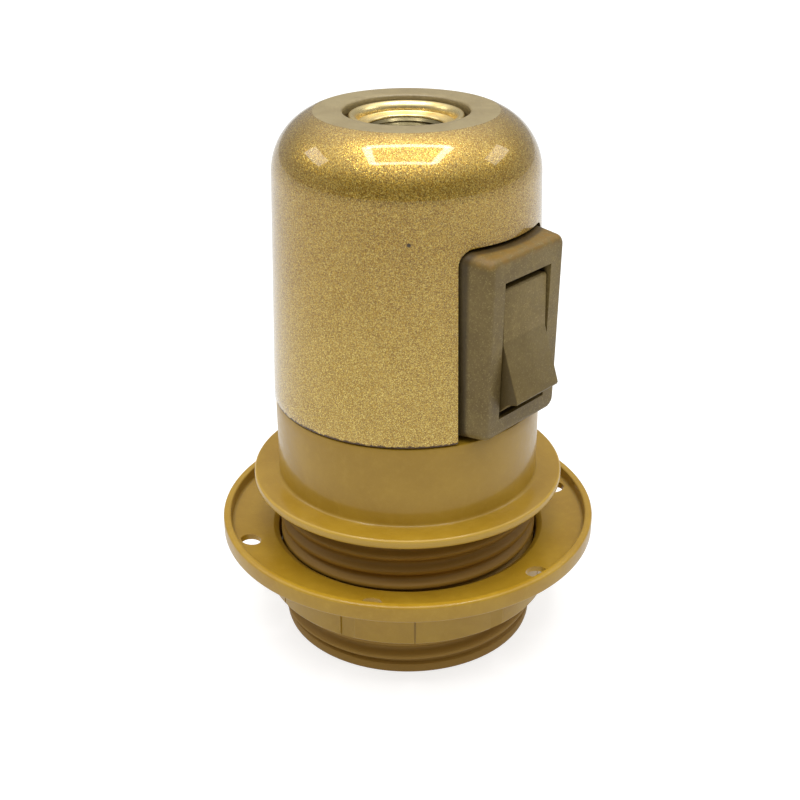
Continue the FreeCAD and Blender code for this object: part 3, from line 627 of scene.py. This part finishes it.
M_COPPER = mat_metal("copper_strip", srgb(226, 148, 108), srgb(160, 92, 60), rough=(0.22, 0.36), turned=False)
M_STEEL = mat_metal("zinc_steel", srgb(205, 206, 204), srgb(150, 150, 146), rough=(0.24, 0.40), turned=False)
M_SILVER = mat_metal("silver_tip", srgb(232, 232, 228), srgb(190, 188, 180), rough=(0.18, 0.30), turned=False)
M_BLOCK = mat_moulded("block_plastic", srgb(226, 220, 204), srgb(208, 200, 180), srgb(240, 236, 226), rough=(0.38, 0.52), grain=0.10, fleck=0.2)
M_PLUNGER = mat_moulded("plunger_plastic", srgb(222, 218, 206), srgb(204, 198, 182), srgb(236, 233, 224), rough=(0.3, 0.42), grain=0.06, fleck=0.1)


def set_mats(o, mats):
    o.data.materials.clear()
    for m in mats:
        o.data.materials.append(m)


# ------------------------------------------------------------------ cap
def build_cap():
    in_r0, in_r1 = CAP_R0 - CAP_WALL, CAP_R1 - CAP_WALL
    web0 = CAP_WEB_Z - CAP_WEB_T
    ceil = H_TOTAL - 2.0
    outer = [(CAP_R0 - 0.22, CAP_Z0), (CAP_R0 - 0.06, CAP_Z0 + 0.06), (CAP_R0, CAP_Z0 + 0.22)]
    side = densify([(CAP_R0, CAP_Z0 + 0.22), (CAP_R1, CAP_Z1)], 1.6)[1:]
    sh = arc_pts(CAP_R1, CAP_Z1, CAP_FLAT_R, H_TOTAL, 40)[1:]
    top = [(CAP_FLAT_R - 0.15, H_TOTAL), (11.5, H_TOTAL), (10.2, H_TOTAL), (CAP_HOLE_R + 0.20, H_TOTAL), (CAP_HOLE_R + 0.04, H_TOTAL - 0.05), (CAP_HOLE_R - 0.09, H_TOTAL - 0.17), (CAP_HOLE_R - 0.14, H_TOTAL - 0.32), (CAP_HOLE_R - 0.14, H_TOTAL - 0.9),
           (CAP_HOLE_R, 79.2), (CAP_HOLE_R, CAP_WEB_Z), (CAP_WEB_HOLE_R, CAP_WEB_Z), (CAP_WEB_HOLE_R, web0),
           (CAP_CUP_R, web0), (CAP_CUP_R, ceil), (CAP_FLAT_R - 0.4, ceil)]
    ins = arc_pts(in_r1, CAP_Z1, CAP_FLAT_R - 0.4, ceil, 16)[::-1][1:]
    low = densify([(in_r1, CAP_Z1), (in_r0, BEAD_Z + 1.0)], 5.0)[1:]
    low += [(in_r0 + 0.45, BEAD_Z + 0.55), (in_r0 + 0.45, BEAD_Z - 0.55), (in_r0, BEAD_Z - 1.0), (in_r0, CAP_Z0)]
    cap = lathe("cap_shell", outer + side + sh + top + ins + low)
    # posts and ribs that hold the contact block
    for px, py in ((-11.8, -7.6), (11.8, -7.6)):
        a = math.degrees(math.atan2(py, px))
        post = cyl_obj("post", 2.0, (px, py, 33.0), (px, py, 77.0), 40)
        rib = box_obj("rib", 13.6, 18.0, -0.6, 0.6, 44.6, 75.0)
        turn(rib, a)
        cap = boolean(cap, post, 'UNION')
        cap = boolean(cap, rib, 'UNION')
        cap = boolean(cap, cyl_obj("pilot", 1.53, (px, py, 30.0), (px, py, 42.0), 32))
    # slot for the switch, rounded at its top corners, open at the lower edge
    bm = bm_hull([(-9.6, 30), (9.6, 30), (9.05, SLOT_TOP), (-9.05, SLOT_TOP)], [(-9.6, 30), (9.6, 30), (9.05, SLOT_TOP), (-9.05, SLOT_TOP)], -26, -11)
    ed = [e for e in bm.edges if all(abs(v.co.z - SLOT_TOP) < 1e-3 for v in e.verts) and abs(e.verts[0].co.y - e.verts[1].co.y) > 1]
    bmesh.ops.bevel(bm, geom=ed, offset=2.2, segments=8, profile=0.5, affect='EDGES')
    cap = boolean(cap, bm_obj(bm, "slot"))
    set_mats(cap, [M_PAINT, M_RAWTOP, M_INNER])
    me = cap.data
    n = len(me.polygons)
    cen = np.zeros(n * 3)
    nor = np.zeros(n * 3)
    me.polygons.foreach_get("center", cen)
    me.polygons.foreach_get("normal", nor)
    cen = cen.reshape(-1, 3) / MM
    nor = nor.reshape(-1, 3)
    r = np.hypot(cen[:, 0], cen[:, 1])
    idx = np.full(n, 2)
    # outside skin: faces whose centre lies on the outer profile
    rad_out = np.where(cen[:, 2] < CAP_Z1, CAP_R0 + (CAP_R1 - CAP_R0) * (cen[:, 2] - CAP_Z0) / (CAP_Z1 - CAP_Z0), 99)
    outward = (nor[:, 0] * cen[:, 0] + nor[:, 1] * cen[:, 1]) / np.maximum(r, 1e-6)
    on_side = (np.abs(r - rad_out) < 0.25) & (outward > 0.5)
    on_sh = (cen[:, 2] >= CAP_Z1 - 0.1) & ((outward > 0.3) | (nor[:, 2] > 0.3)) & (r > CAP_FLAT_R - 0.05) & (nor[:, 2] > -0.2)
    idx[on_side | on_sh] = 0
    flat = (cen[:, 2] > 78.9) & (r <= CAP_FLAT_R - 0.02)
    idx[flat & (nor[:, 2] > -0.5)] = 1
    me.polygons.foreach_set("material_index", idx.astype(np.int32))
    me.update()
    smooth(cap, 30)
    return cap


# ------------------------------------------------------------------ skirt, with its helical threads
TH_CAM = math.atan2(-math.cos(math.radians(CAM_AZ)), math.sin(math.radians(CAM_AZ)))


def build_skirt():
    crest0 = 3.1
    zt0, zt1 = 2.0, 22.9
    # outer side, bottom to top
    p = []
    p += [(E27_R + 0.9, 0.0), (E27_R + 2.0, 0.0), (17.0, 0.0), (TH_R - 0.95, 0.0), (TH_R - 0.72, 0.05), (TH_R - 0.53, 0.2), (TH_R - 0.45, 0.5), (TH_R - 0.45, 1.35), (TH_R - 0.52, 1.55)]
    k0 = len(p)
    step = 0.17
    nz = int((zt1 - 1.8) / step)
    p += [(TH_ROOT_R, 1.8 + (zt1 - 1.8) * i / nz) for i in range(nz + 1)]
    k1 = len(p)
    p += [(TH_ROOT_R, 23.4), (TH_ROOT_R, FL_Z0 - 0.5), (TH_ROOT_R + 0.08, FL_Z0 - 0.22), (TH_ROOT_R + 0.25, FL_Z0 - 0.05), (TH_ROOT_R + 0.5, FL_Z0), (21.0, FL_Z0)]
    fl = rounded([(22.0, FL_Z0), (FL_R, FL_Z0), (FL_R, FL_Z1), (22.0, FL_Z1)], [0, 0.4, 0.4, 0])
    p += fl
    p += [(SK_R + 1.2, FL_Z1), (SK_R + 0.5, FL_Z1), (SK_R + 0.25, FL_Z1 + 0.05), (SK_R + 0.07, FL_Z1 + 0.2), (SK_R, FL_Z1 + 0.45)]
    p += densify([(SK_R, FL_Z1 + 0.45), (SK_R, SK_LEDGE_Z - 0.25)], 1.5)[1:]
    p += [(SK_R - 0.07, SK_LEDGE_Z - 0.07), (SK_R - 0.25, SK_LEDGE_Z), (SK_SPIGOT_R, SK_LEDGE_Z),
          (SK_SPIGOT_R, BEAD_Z - 0.8), (SK_SPIGOT_R + 0.4, BEAD_Z - 0.4), (SK_SPIGOT_R + 0.4, BEAD_Z + 0.3), (SK_SPIGOT_R, BEAD_Z + 0.9),
          (SK_SPIGOT_R, SK_SPIGOT_Z - 0.4), (SK_SPIGOT_R - 0.4, SK_SPIGOT_Z), (16.4, SK_SPIGOT_Z), (16.4, 36.0), (16.4, 30.0), (16.9, 29.0),
          (16.9, 15.0), (16.9, RIM_T), (E27_TUBE_R, RIM_T), (E27_TUBE_R, 12.0), (E27_TUBE_R, E27_TUBE_Z - 0.2), (E27_TUBE_R - 0.2, E27_TUBE_Z),
          (E27_R + 0.5, E27_TUBE_Z), (E27_R + 0.5, E27_THREAD_Z + 0.7), (E27_R, E27_THREAD_Z)]
    k2 = len(p)
    n2 = int((E27_THREAD_Z - 0.95) / (0.24))
    p += [(E27_R, E27_THREAD_Z - (E27_THREAD_Z - 0.95) * i / n2) for i in range(1, n2)]
    k3 = len(p)
    p += [(E27_R, 0.9), (E27_R + 0.25, 0.45), (E27_R + 0.55, 0.15)]

    def mod(R, Z, T):
        R = R.copy()
        # barrel thread: right-handed, rounded ridges
        z = Z[k0:k1]
        t = (z - crest0 - TH_PITCH * (T[k0:k1] - TH_CAM) / (2 * math.pi)) / TH_PITCH
        u = np.abs(t - np.round(t))
        h = 1 - sstep(u, 0.06, 0.44)
        # thread runs out smoothly at both ends of its helix
        turns = (z - crest0) / TH_PITCH
        amp = sstep(z, 1.9, 2.7) * (1 - sstep(z, 22.2, 22.8))
        R[k0:k1] = TH_R - 0.02 - 0.95 * (1 - h * amp)
        # lamp thread: rounded, pitch 3.629
        z = Z[k2:k3]
        t = (z - 3.629 * T[k2:k3] / (2 * math.pi)) / 3.629
        w = 0.5 + 0.5 * np.cos(2 * math.pi * t)
        amp = sstep(z, 0.95, 2.4) * (1 - sstep(z, 15.6, 16.9))
        R[k2:k3] = E27_R - 1.0 * w * amp
        return R, Z

    sk = lathe("skirt_shell", p, mod=mod)
    sk = boolean(sk, box_obj("notch", -10.2, 10.2, -20.5, -8.0, SK_LEDGE_Z + 0.0002, SK_SPIGOT_Z + 1))
    ribs = []
    for k in range(4):
        ribs.append(turn(box_obj("rib", -0.6, 0.6, -17.2, -14.5, RIM_T - 0.5, 19.0), 45 + 90 * k))
    for r in ribs:
        sk = boolean(sk, r, 'UNION')
    sk.name = "skirt_shell"
    set_mats(sk, [M_SKIRT])
    smooth(sk, 38)
    return sk


# ------------------------------------------------------------------ shade ring
def build_ring():
    hub_z = RG_HUB_Z
    pts = [(RG_BORE_R + 0.55, hub_z), (RG_HUB_R, hub_z), (RG_HUB_R, 14.95), (RG_HUB_R + 0.5, 15.35),
           (RG_R - 0.5, RG_RIM_Z0), (RG_R, RG_RIM_Z0 + 0.3), (RG_R, RG_TOP_Z), (RG_R - RG_RIM_T, RG_TOP_Z),
           (RG_R - RG_RIM_T, 16.7), (21.2, 15.8), (RG_BORE_R, 15.25), (RG_BORE_R, hub_z + 0.55)]
    rad = [0, 0.4, 0.3, 0.4, 0.3, 0.3, 0.38, 0.3, 0.45, 0.6, 0.25, 0]
    p = rounded(pts, rad)
    # last straight run is the bore: give it rows for the internal thread
    z_hi = [q for q in p if abs(q[0] - RG_BORE_R) < 0.02][0][1]
    bore = [(RG_BORE_R, z_hi - (z_hi - (hub_z + 0.6)) * i / 46) for i in range(1, 46)]
    k0 = len(p) - 1
    p = p[:-1] + bore + [p[-1]]
    k1 = k0 + len(bore)

    def mod(R, Z, T):
        R = R.copy()
        z = Z[k0:k1]
        t = (z - 1.25 - 3.1 - TH_PITCH * (T[k0:k1] - TH_CAM) / (2 * math.pi)) / TH_PITCH
        u = np.abs(t - np.round(t))
        h = sstep(u, 0.12, 0.34)
        amp = sstep(z, hub_z + 0.6, hub_z + 1.3) * (1 - sstep(z, z_hi - 0.8, z_hi - 0.1))
        R[k0:k1] = RG_BORE_R - 0.12 + 0.62 * h * amp + 0.12 * (1 - amp)
        return R, Z

    rg = lathe("shade_ring_body", p, mod=mod)
    cut = []
    for k in range(6):
        a = RG_HOLE_AZ + 60 * k
        c = cyl_obj("h", RG_HOLE_R, (0, -RG_HOLE_PCR, 12), (0, -RG_HOLE_PCR, 20), 40)
        cut.append(turn(c, a))
        b = bm_box(-1.2, 1.2, -RG_HUB_R - 1, -(RG_HUB_R - 0.25), hub_z - 1, 13.9)
        for v in b.verts:
            if v.co.x > 0 and v.co.y > -RG_HUB_R:
                v.co.y = -(RG_HUB_R - 0.04)
        cut.append(turn(bm_obj(b, "n"), RG_NOTCH_AZ + 60 * k))
        b = bm_box(-0.13, 0.13, -RG_HUB_R - 1, -(RG_HUB_R - 0.22), hub_z - 1, 14.2)
        cut.append(turn(bm_obj(b, "s"), -46.1 + 60 * k))
    for c in cut:
        rg = boolean(rg, c)
    set_mats(rg, [M_RING])
    smooth(rg, 32)
    return rg


# ------------------------------------------------------------------ entry bush with its M10x1 thread
def build_bush():
    z0, z1 = EB_TAIL_Z, EB_TOP_Z
    p = [(EB_BORE_R, z0), (EB_SHANK_R - 0.3, z0), (EB_SHANK_R, z0 + 0.3)]
    ks0 = len(p)
    p += [(EB_SHANK_R, z0 + 0.3 + (CAP_WEB_Z - 0.5 - z0 - 0.3) * i / 80) for i in range(1, 80)]
    ks1 = len(p)
    p += [(EB_SHANK_R, CAP_WEB_Z), (EB_RIM_R - 0.1, CAP_WEB_Z), (EB_RIM_R - 0.05, z1 - 1.2), (EB_RIM_R, z1 - 0.32)]
    p += [(EB_RIM_R - 0.05, z1 - 0.15), (EB_RIM_R - 0.18, z1 - 0.04), (EB_RIM_R - 0.36, z1)]
    # concave flare
    for i in range(1, 13):
        a = i / 12.0
        p.append((EB_RIM_R - 0.36 - 0.89 * math.sin(a * math.pi / 2) ** 1.0, z1 - 1.25 * (1 - math.cos(a * math.pi / 2))))
    p += [(EB_RIM_R - 1.30, z1 - 1.30), (EB_RIM_R - 1.42, z1 - 1.36), (EB_BORE_R + 0.62, z1 - 1.52), (EB_BORE_R + 0.5, z1 - 1.58), (EB_BORE_R + 0.42, z1 - 1.72), (EB_BORE_R + 0.4, z1 - 1.95), (EB_BORE_R, z1 - 2.3)]
    kb0 = len(p)
    nb = 110
    ztop, zbot = z1 - 2.35, z0 + 0.5
    p += [(EB_BORE_R, ztop + (zbot - ztop) * i / nb) for i in range(nb + 1)]
    kb1 = len(p)

    def mod(R, Z, T):
        R = R.copy()
        z = Z[kb0:kb1]
        t = z - T[kb0:kb1] / (2 * math.pi)
        u = np.abs(t - np.round(t)) * 2
        amp = sstep(z, zbot, zbot + 0.6) * (1 - sstep(z, ztop - 0.5, ztop))
        R[kb0:kb1] = EB_BORE_R - 0.5 * (1 - u) * amp
        z = Z[ks0:ks1]
        t = z - T[ks0:ks1] / (2 * math.pi)
        u = np.abs(t - np.round(t)) * 2
        amp = sstep(z, z0 + 0.3, z0 + 0.8) * (1 - sstep(z, CAP_WEB_Z - 2.6, CAP_WEB_Z - 2.2))
        R[ks0:ks1] = EB_SHANK_R - 0.45 * u * amp
        return R, Z

    o = lathe("entry_bush_body", p, segs=160, mod=mod)
    o = boolean(o, cyl_obj("g", 1.52, (0, 2.0, GRUB_Z), (0, 12, GRUB_Z), 32))
    set_mats(o, [M_BUSH])
    smooth(o, 34)
    return o


# ------------------------------------------------------------------ switch
def weld(o, d=0.00002):
    bm = bmesh.new()
    bm.from_mesh(o.data)
    bmesh.ops.remove_doubles(bm, verts=bm.verts, dist=d)
    bm.to_mesh(o.data)
    bm.free()


def build_switch_frame():
    bm = bmesh.new()
    vs = []
    for zf, zb in ((SW_Z0, SW_Z0_BACK), (SW_Z1, SW_Z1_BACK)):
        yf = SW_FACE_Y - (zf - SW_ZC) * math.tan(math.radians(SW_FACE_TILT))
        wf = SW_W / 2 + SW_DRAFT * (yf - SW_FACE_Y)
        wb = SW_W / 2 + SW_DRAFT * (SW_BACK_Y - SW_FACE_Y)
        vs.append([bm.verts.new(q) for q in ((-wf, yf, zf), (wf, yf, zf), (wb, SW_BACK_Y, zb), (-wb, SW_BACK_Y, zb))])
    lo, hi = vs
    bm.faces.new(lo[::-1])
    bm.faces.new(hi)
    for i in range(4):
        bm.faces.new((lo[i], lo[(i + 1) % 4], hi[(i + 1) % 4], hi[i]))
    bmesh.ops.recalc_face_normals(bm, faces=bm.faces)
    ed = [e for e in bm.edges if abs(e.verts[0].co.y - e.verts[1].co.y) > 2]
    bmesh.ops.bevel(bm, geom=ed, offset=1.6, segments=8, profile=0.5, affect='EDGES')
    ed = [e for e in bm.edges if all(v.co.y < -20.6 for v in e.verts)]
    ed = [e for e in ed if len(e.link_faces) == 2 and abs(e.link_faces[0].normal.y - e.link_faces[1].normal.y) > 0.5]
    bmesh.ops.bevel(bm, geom=ed, offset=0.85, segments=6, profile=0.5, affect='EDGES')
    o = bm_obj(bm, "switch_frame_body")
    o = boolean(o, box_obj("house", -7.6, 7.6, -15.5, -5.6, 40.3, 63.4), 'UNION')
    o = boolean(o, box_obj("wings", -10.1, 10.1, -13.9, -12.7, 44.0, 62.7), 'UNION')
    hw = SW_OPEN_W / 2
    bm = bm_box(-hw, hw, -24, SW_FACE_Y + SW_PLATE_T + 0.1, SW_OPEN_Z0, SW_OPEN_Z1)
    ed = [e for e in bm.edges if abs(e.verts[0].co.y - e.verts[1].co.y) > 1]
    bmesh.ops.bevel(bm, geom=ed, offset=0.25, segments=4, profile=0.5, affect='EDGES')
    o = boolean(o, bm_obj(bm, "open"))
    # small lead-in round the opening, following the leaning face
    bm = bm_box(-hw - 0.16, hw + 0.16, -1.0, 0.16, SW_OPEN_Z0 - 0.16, SW_OPEN_Z1 + 0.16)
    for v in bm.verts:
        if v.co.y > 0:
            v.co.x -= 0.18 * (1 if v.co.x > 0 else -1)
            v.co.z -= 0.18 * (1 if v.co.z > SW_ZC else -1)
        v.co.y += SW_FACE_Y - (v.co.z - SW_ZC) * math.tan(math.radians(SW_FACE_TILT))
    o = boolean(o, bm_obj(bm, "lead"))
    cav = box_obj("cav", -hw, hw, SW_FACE_Y + SW_PLATE_T, -7.0, 40.85, 62.85)
    cav = boolean(cav, box_obj("c1", -6, 6, -10.5, -6, 40, 44.6))
    cav = boolean(cav, box_obj("c2", -6, 6, -10.5, -6, 59.1, 63.5))
    o = boolean(o, cav)
    o = boolean(o, cyl_obj("pin", RK_PIN_R + 0.05, (-6.6, PIV_Y, SW_ZC), (6.6, PIV_Y, SW_ZC), 40))
    o = boolean(o, box_obj("t1", -5.25, -3.85, -7.2, -5, 51.45, 52.25))
    o = boolean(o, box_obj("t2", 3.35, 5.05, -7.2, -5, 57.55, 58.45))
    set_mats(o, [M_SWITCH])
    smooth(o, 40)
    return o


def build_rocker():
    a10 = math.radians(RK_THROW / 2)

    def rk(s, a):
        return (PIV_Y - (a * math.cos(a10) - s * math.sin(a10)), SW_ZC + s * math.cos(a10) + a * math.sin(a10))

    upper = [(0.0, 6.35), (7.1, 7.43), (7.5, 7.44), (7.75, 7.22), (7.95, 5.8), (9.9, 4.2), (9.75, 3.7), (8.6, 1.6), (6.2, 0.2), (3.0, -0.6), (2.3, -2.9)]
    half = [(0.0, 6.35), (7.9, 7.55), (8.3, 7.56), (8.55, 7.34), (8.75, 5.8), (9.9, 4.2), (9.75, 3.7), (8.6, 1.6), (6.2, 0.2), (3.0, -0.6), (2.3, -2.9)]
    sec = [(s, a) for s, a in upper] + [(-s, a) for s, a in half[:0:-1]]
    o = prism_obj("rocker_body_mesh", [rk(s, a) for s, a in sec], -RK_W / 2, RK_W / 2)
    bm = bmesh.new()
    bm.from_mesh(o.data)
    ed = [e for e in bm.edges if abs(e.verts[0].co.x - e.verts[1].co.x) < 1e-9 and (e.verts[0].co.y + e.verts[1].co.y) / 2 / MM < PIV_Y - 1.5]
    bmesh.ops.bevel(bm, geom=ed, offset=0.22 * MM, segments=3, profile=0.5, affect='EDGES', clamp_overlap=True)
    bmesh.ops.recalc_face_normals(bm, faces=bm.faces)
    bm.to_mesh(o.data)
    bm.free()
    o = boolean(o, cyl_obj("pins", RK_PIN_R, (-6.35, PIV_Y, SW_ZC), (6.35, PIV_Y, SW_ZC), 40), 'UNION')
    inward = Vector((0, math.cos(a10), -math.sin(a10)))
    piv = Vector((0, PIV_Y, SW_ZC))
    b0 = piv + inward * (-3.6)
    o = boolean(o, cyl_obj("bore", PL_R + 0.06, b0, b0 + inward * 8.0, 32))
    set_mats(o, [M_ROCKER])
    smooth(o, 24)
    return o


cap = build_cap()
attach(cap, "holder"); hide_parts("cap")
skirt = build_skirt()
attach(skirt, "holder"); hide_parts("skirt")
ring = build_ring()
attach(ring, "ring_body"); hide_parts("shade_ring")
bush = build_bush()
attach(bush, "holder"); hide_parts("entry_bush")
swf = build_switch_frame()
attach(swf, "holder"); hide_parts("switch_frame")
rocker = build_rocker()
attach(rocker, "rocker_body"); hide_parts("rocker")

# ------------------------------------------------------------------ finishes of the pieces kept from the solids
FIN = {
    "bush_nut": M_STEEL, "bush_grub_screw": M_STEEL, "rocker_plunger": M_PLUNGER, "plunger_spring": M_STEEL,
    "contact_bridge": M_BRASS, "bridge_tip": M_SILVER, "pivot_contact": M_BRASS, "fixed_contact": M_BRASS, "fixed_tip": M_SILVER,
    "contact_block": M_BLOCK, "block_screws": M_STEEL, "centre_contact": M_BRONZE, "centre_rivet": M_BRASS, "side_contact": M_BRONZE,
    "side_rivets": M_BRASS, "line_terminal": M_BRASS, "neutral_terminal": M_BRASS, "terminal_screws": M_STEEL,
    "feed_link": M_COPPER, "switch_link": M_COPPER,
}
for name, mat in FIN.items():
    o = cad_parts[name]
    if len(o.material_slots) == 0:
        raise SystemExit("no material slot on " + name)
    for s in o.material_slots:
        s.link = 'OBJECT'
        s.material = mat

# ------------------------------------------------------------------ floor, light, camera
ROT = Matrix.Rotation(math.radians(CAM_AZ), 4, 'Z')     # from the view's own axes (camera on -Y) to the row frame


def floor_mat():
    m, nt, b = newmat("pale_floor")
    p = coords(nt)
    n1 = noise(nt, p, 0.02, 3.0, 0.5)
    put(nt, b.inputs['Base Color'], mixc(nt, n1, (0.40, 0.40, 0.398, 1), (0.43, 0.43, 0.43, 1)))
    b.inputs['Roughness'].default_value = 0.6
    b.inputs['Specular IOR Level'].default_value = 0.2
    b.inputs['Emission Color'].default_value = (1.0, 1.0, 1.0, 1)
    flp = nt.nodes.new('ShaderNodeLightPath')
    put(nt, b.inputs['Emission Strength'], mixf(nt, flp.outputs['Is Camera Ray'], 0.41, 0.72))
    return m


bm = bmesh.new()
bmesh.ops.create_circle(bm, cap_ends=True, segments=96, radius=4.0)
me = bpy.data.meshes.new("floor")
bm.to_mesh(me)
bm.free()
floor = bpy.data.objects.new("floor", me)
floor.location = (0, 0, -0.00002)
coll.objects.link(floor)
floor.data.materials.append(floor_mat())

world = bpy.data.worlds.new("tent")
scene.world = world
world.use_nodes = True
wn = world.node_tree
wn.nodes.clear()
wo = wn.nodes.new('ShaderNodeOutputWorld')
bg = wn.nodes.new('ShaderNodeBackground')
wn.links.new(bg.outputs[0], wo.inputs[0])
wtc = wn.nodes.new('ShaderNodeTexCoord')
wsep = wn.nodes.new('ShaderNodeSeparateXYZ')
wn.links.new(wtc.outputs['Generated'], wsep.inputs[0])
camdir = (ROT @ Vector((0, -1, 0))).normalized()
dx = math_(wn, 'ADD', math_(wn, 'MULTIPLY', wsep.outputs[0], camdir.x), math_(wn, 'MULTIPLY', wsep.outputs[1], camdir.y))
front = maprange(wn, dx, 0.15, 0.75)
low = math_(wn, 'MULTIPLY', maprange(wn, wsep.outputs[2], 0.80, 0.50), maprange(wn, wsep.outputs[2], -0.12, 0.02))
dark = math_(wn, 'MULTIPLY', front, low)
strength = math_(wn, 'SUBTRACT', 1.0, math_(wn, 'MULTIPLY', dark, 0.60))
top = maprange(wn, wsep.outputs[2], 0.35, 0.95, 0.0, 1.05)
strength = math_(wn, 'ADD', math_(wn, 'MULTIPLY', strength, 0.36), top)
lp = wn.nodes.new('ShaderNodeLightPath')
strength = mixf(wn, lp.outputs['Is Camera Ray'], strength, 1.0)
wn.links.new(strength, bg.inputs['Strength'])
bg.inputs['Color'].default_value = (1.0, 0.995, 0.985, 1)


def area(name, loc, target, sx, sy, radiance, color=(1, 1, 1)):
    L = bpy.data.lights.new(name, 'AREA')
    L.shape = 'RECTANGLE'
    L.size, L.size_y = sx, sy
    L.energy = radiance * math.pi * sx * sy
    L.color = color
    o = bpy.data.objects.new(name, L)
    loc = ROT @ Vector(loc)
    o.location = loc
    d = (ROT @ Vector(target) - loc)
    o.rotation_euler = d.to_track_quat('-Z', 'Y').to_euler()
    coll.objects.link(o)
    return o


def bar(name, a, b, width, radiance):
    """Thin strip light from a to b, facing the object."""
    a, b = Vector(a), Vector(b)
    L = bpy.data.lights.new(name, 'AREA')
    L.shape = 'RECTANGLE'
    L.size, L.size_y = (b - a).length, width
    L.energy = radiance * math.pi * L.size * width
    o = bpy.data.objects.new(name, L)
    mid = (a + b) / 2
    x = (b - a).normalized()
    zax = (mid - Vector((0, 0, 0.07))).normalized()
    y = zax.cross(x).normalized()
    zax = x.cross(y).normalized()
    R = Matrix((x, y, zax)).transposed().to_4x4()
    o.matrix_world = ROT @ (Matrix.Translation(mid) @ R)
    coll.objects.link(o)
    return o


HB = 0.50
TLc, TRc = (-0.370 * HB, 0.06 * HB, HB + 0.078), (0.410 * HB, 0.07 * HB, HB + 0.078)
BRc, BLc = (0.379 * HB, -0.554 * HB, HB + 0.078), (-0.478 * HB, -0.555 * HB, HB + 0.078)
bar("strip_back", TLc, TRc, 0.052, 10.6)
bar("strip_front", BLc, BRc, 0.048, 10.0)
bar("strip_left", TLc, BLc, 0.052, 10.4)
bar("strip_right", TRc, BRc, 0.052, 10.4)
area("side_left", (-0.54, 0.09, 0.43), (0, 0, 0.07), 0.28, 0.14, 3.2)
area("side_right", (0.51, 0.10, 0.42), (0, 0, 0.07), 0.28, 0.14, 2.6)

cam = bpy.data.cameras.new("camera")
cam.sensor_fit = 'HORIZONTAL'
cam.sensor_width = 36.0
cam.lens = 1296.04 / 800.0 * 36.0
cam.clip_start = 0.005
cam.clip_end = 20.0
co = bpy.data.objects.new("camera", cam)
coll.objects.link(co)
PH, PS, RH = 0.455170983, -0.00626058038, -0.006
F = Vector((math.sin(PS) * math.cos(PH), math.cos(PS) * math.cos(PH), -math.sin(PH)))
R0 = Vector((math.cos(PS), -math.sin(PS), 0))
U0 = R0.cross(F)
R = R0 * math.cos(RH) + U0 * math.sin(RH)
U = -R0 * math.sin(RH) + U0 * math.cos(RH)
Mc = Matrix((R, U, -F)).transposed().to_4x4()
co.matrix_world = ROT @ (Matrix.Translation(Vector((0, -0.176902775, 0.122823581))) @ Mc)
scene.camera = co
scene.view_settings.view_transform = 'Standard'
scene.view_settings.look = 'None'
scene.view_settings.exposure = 0.0
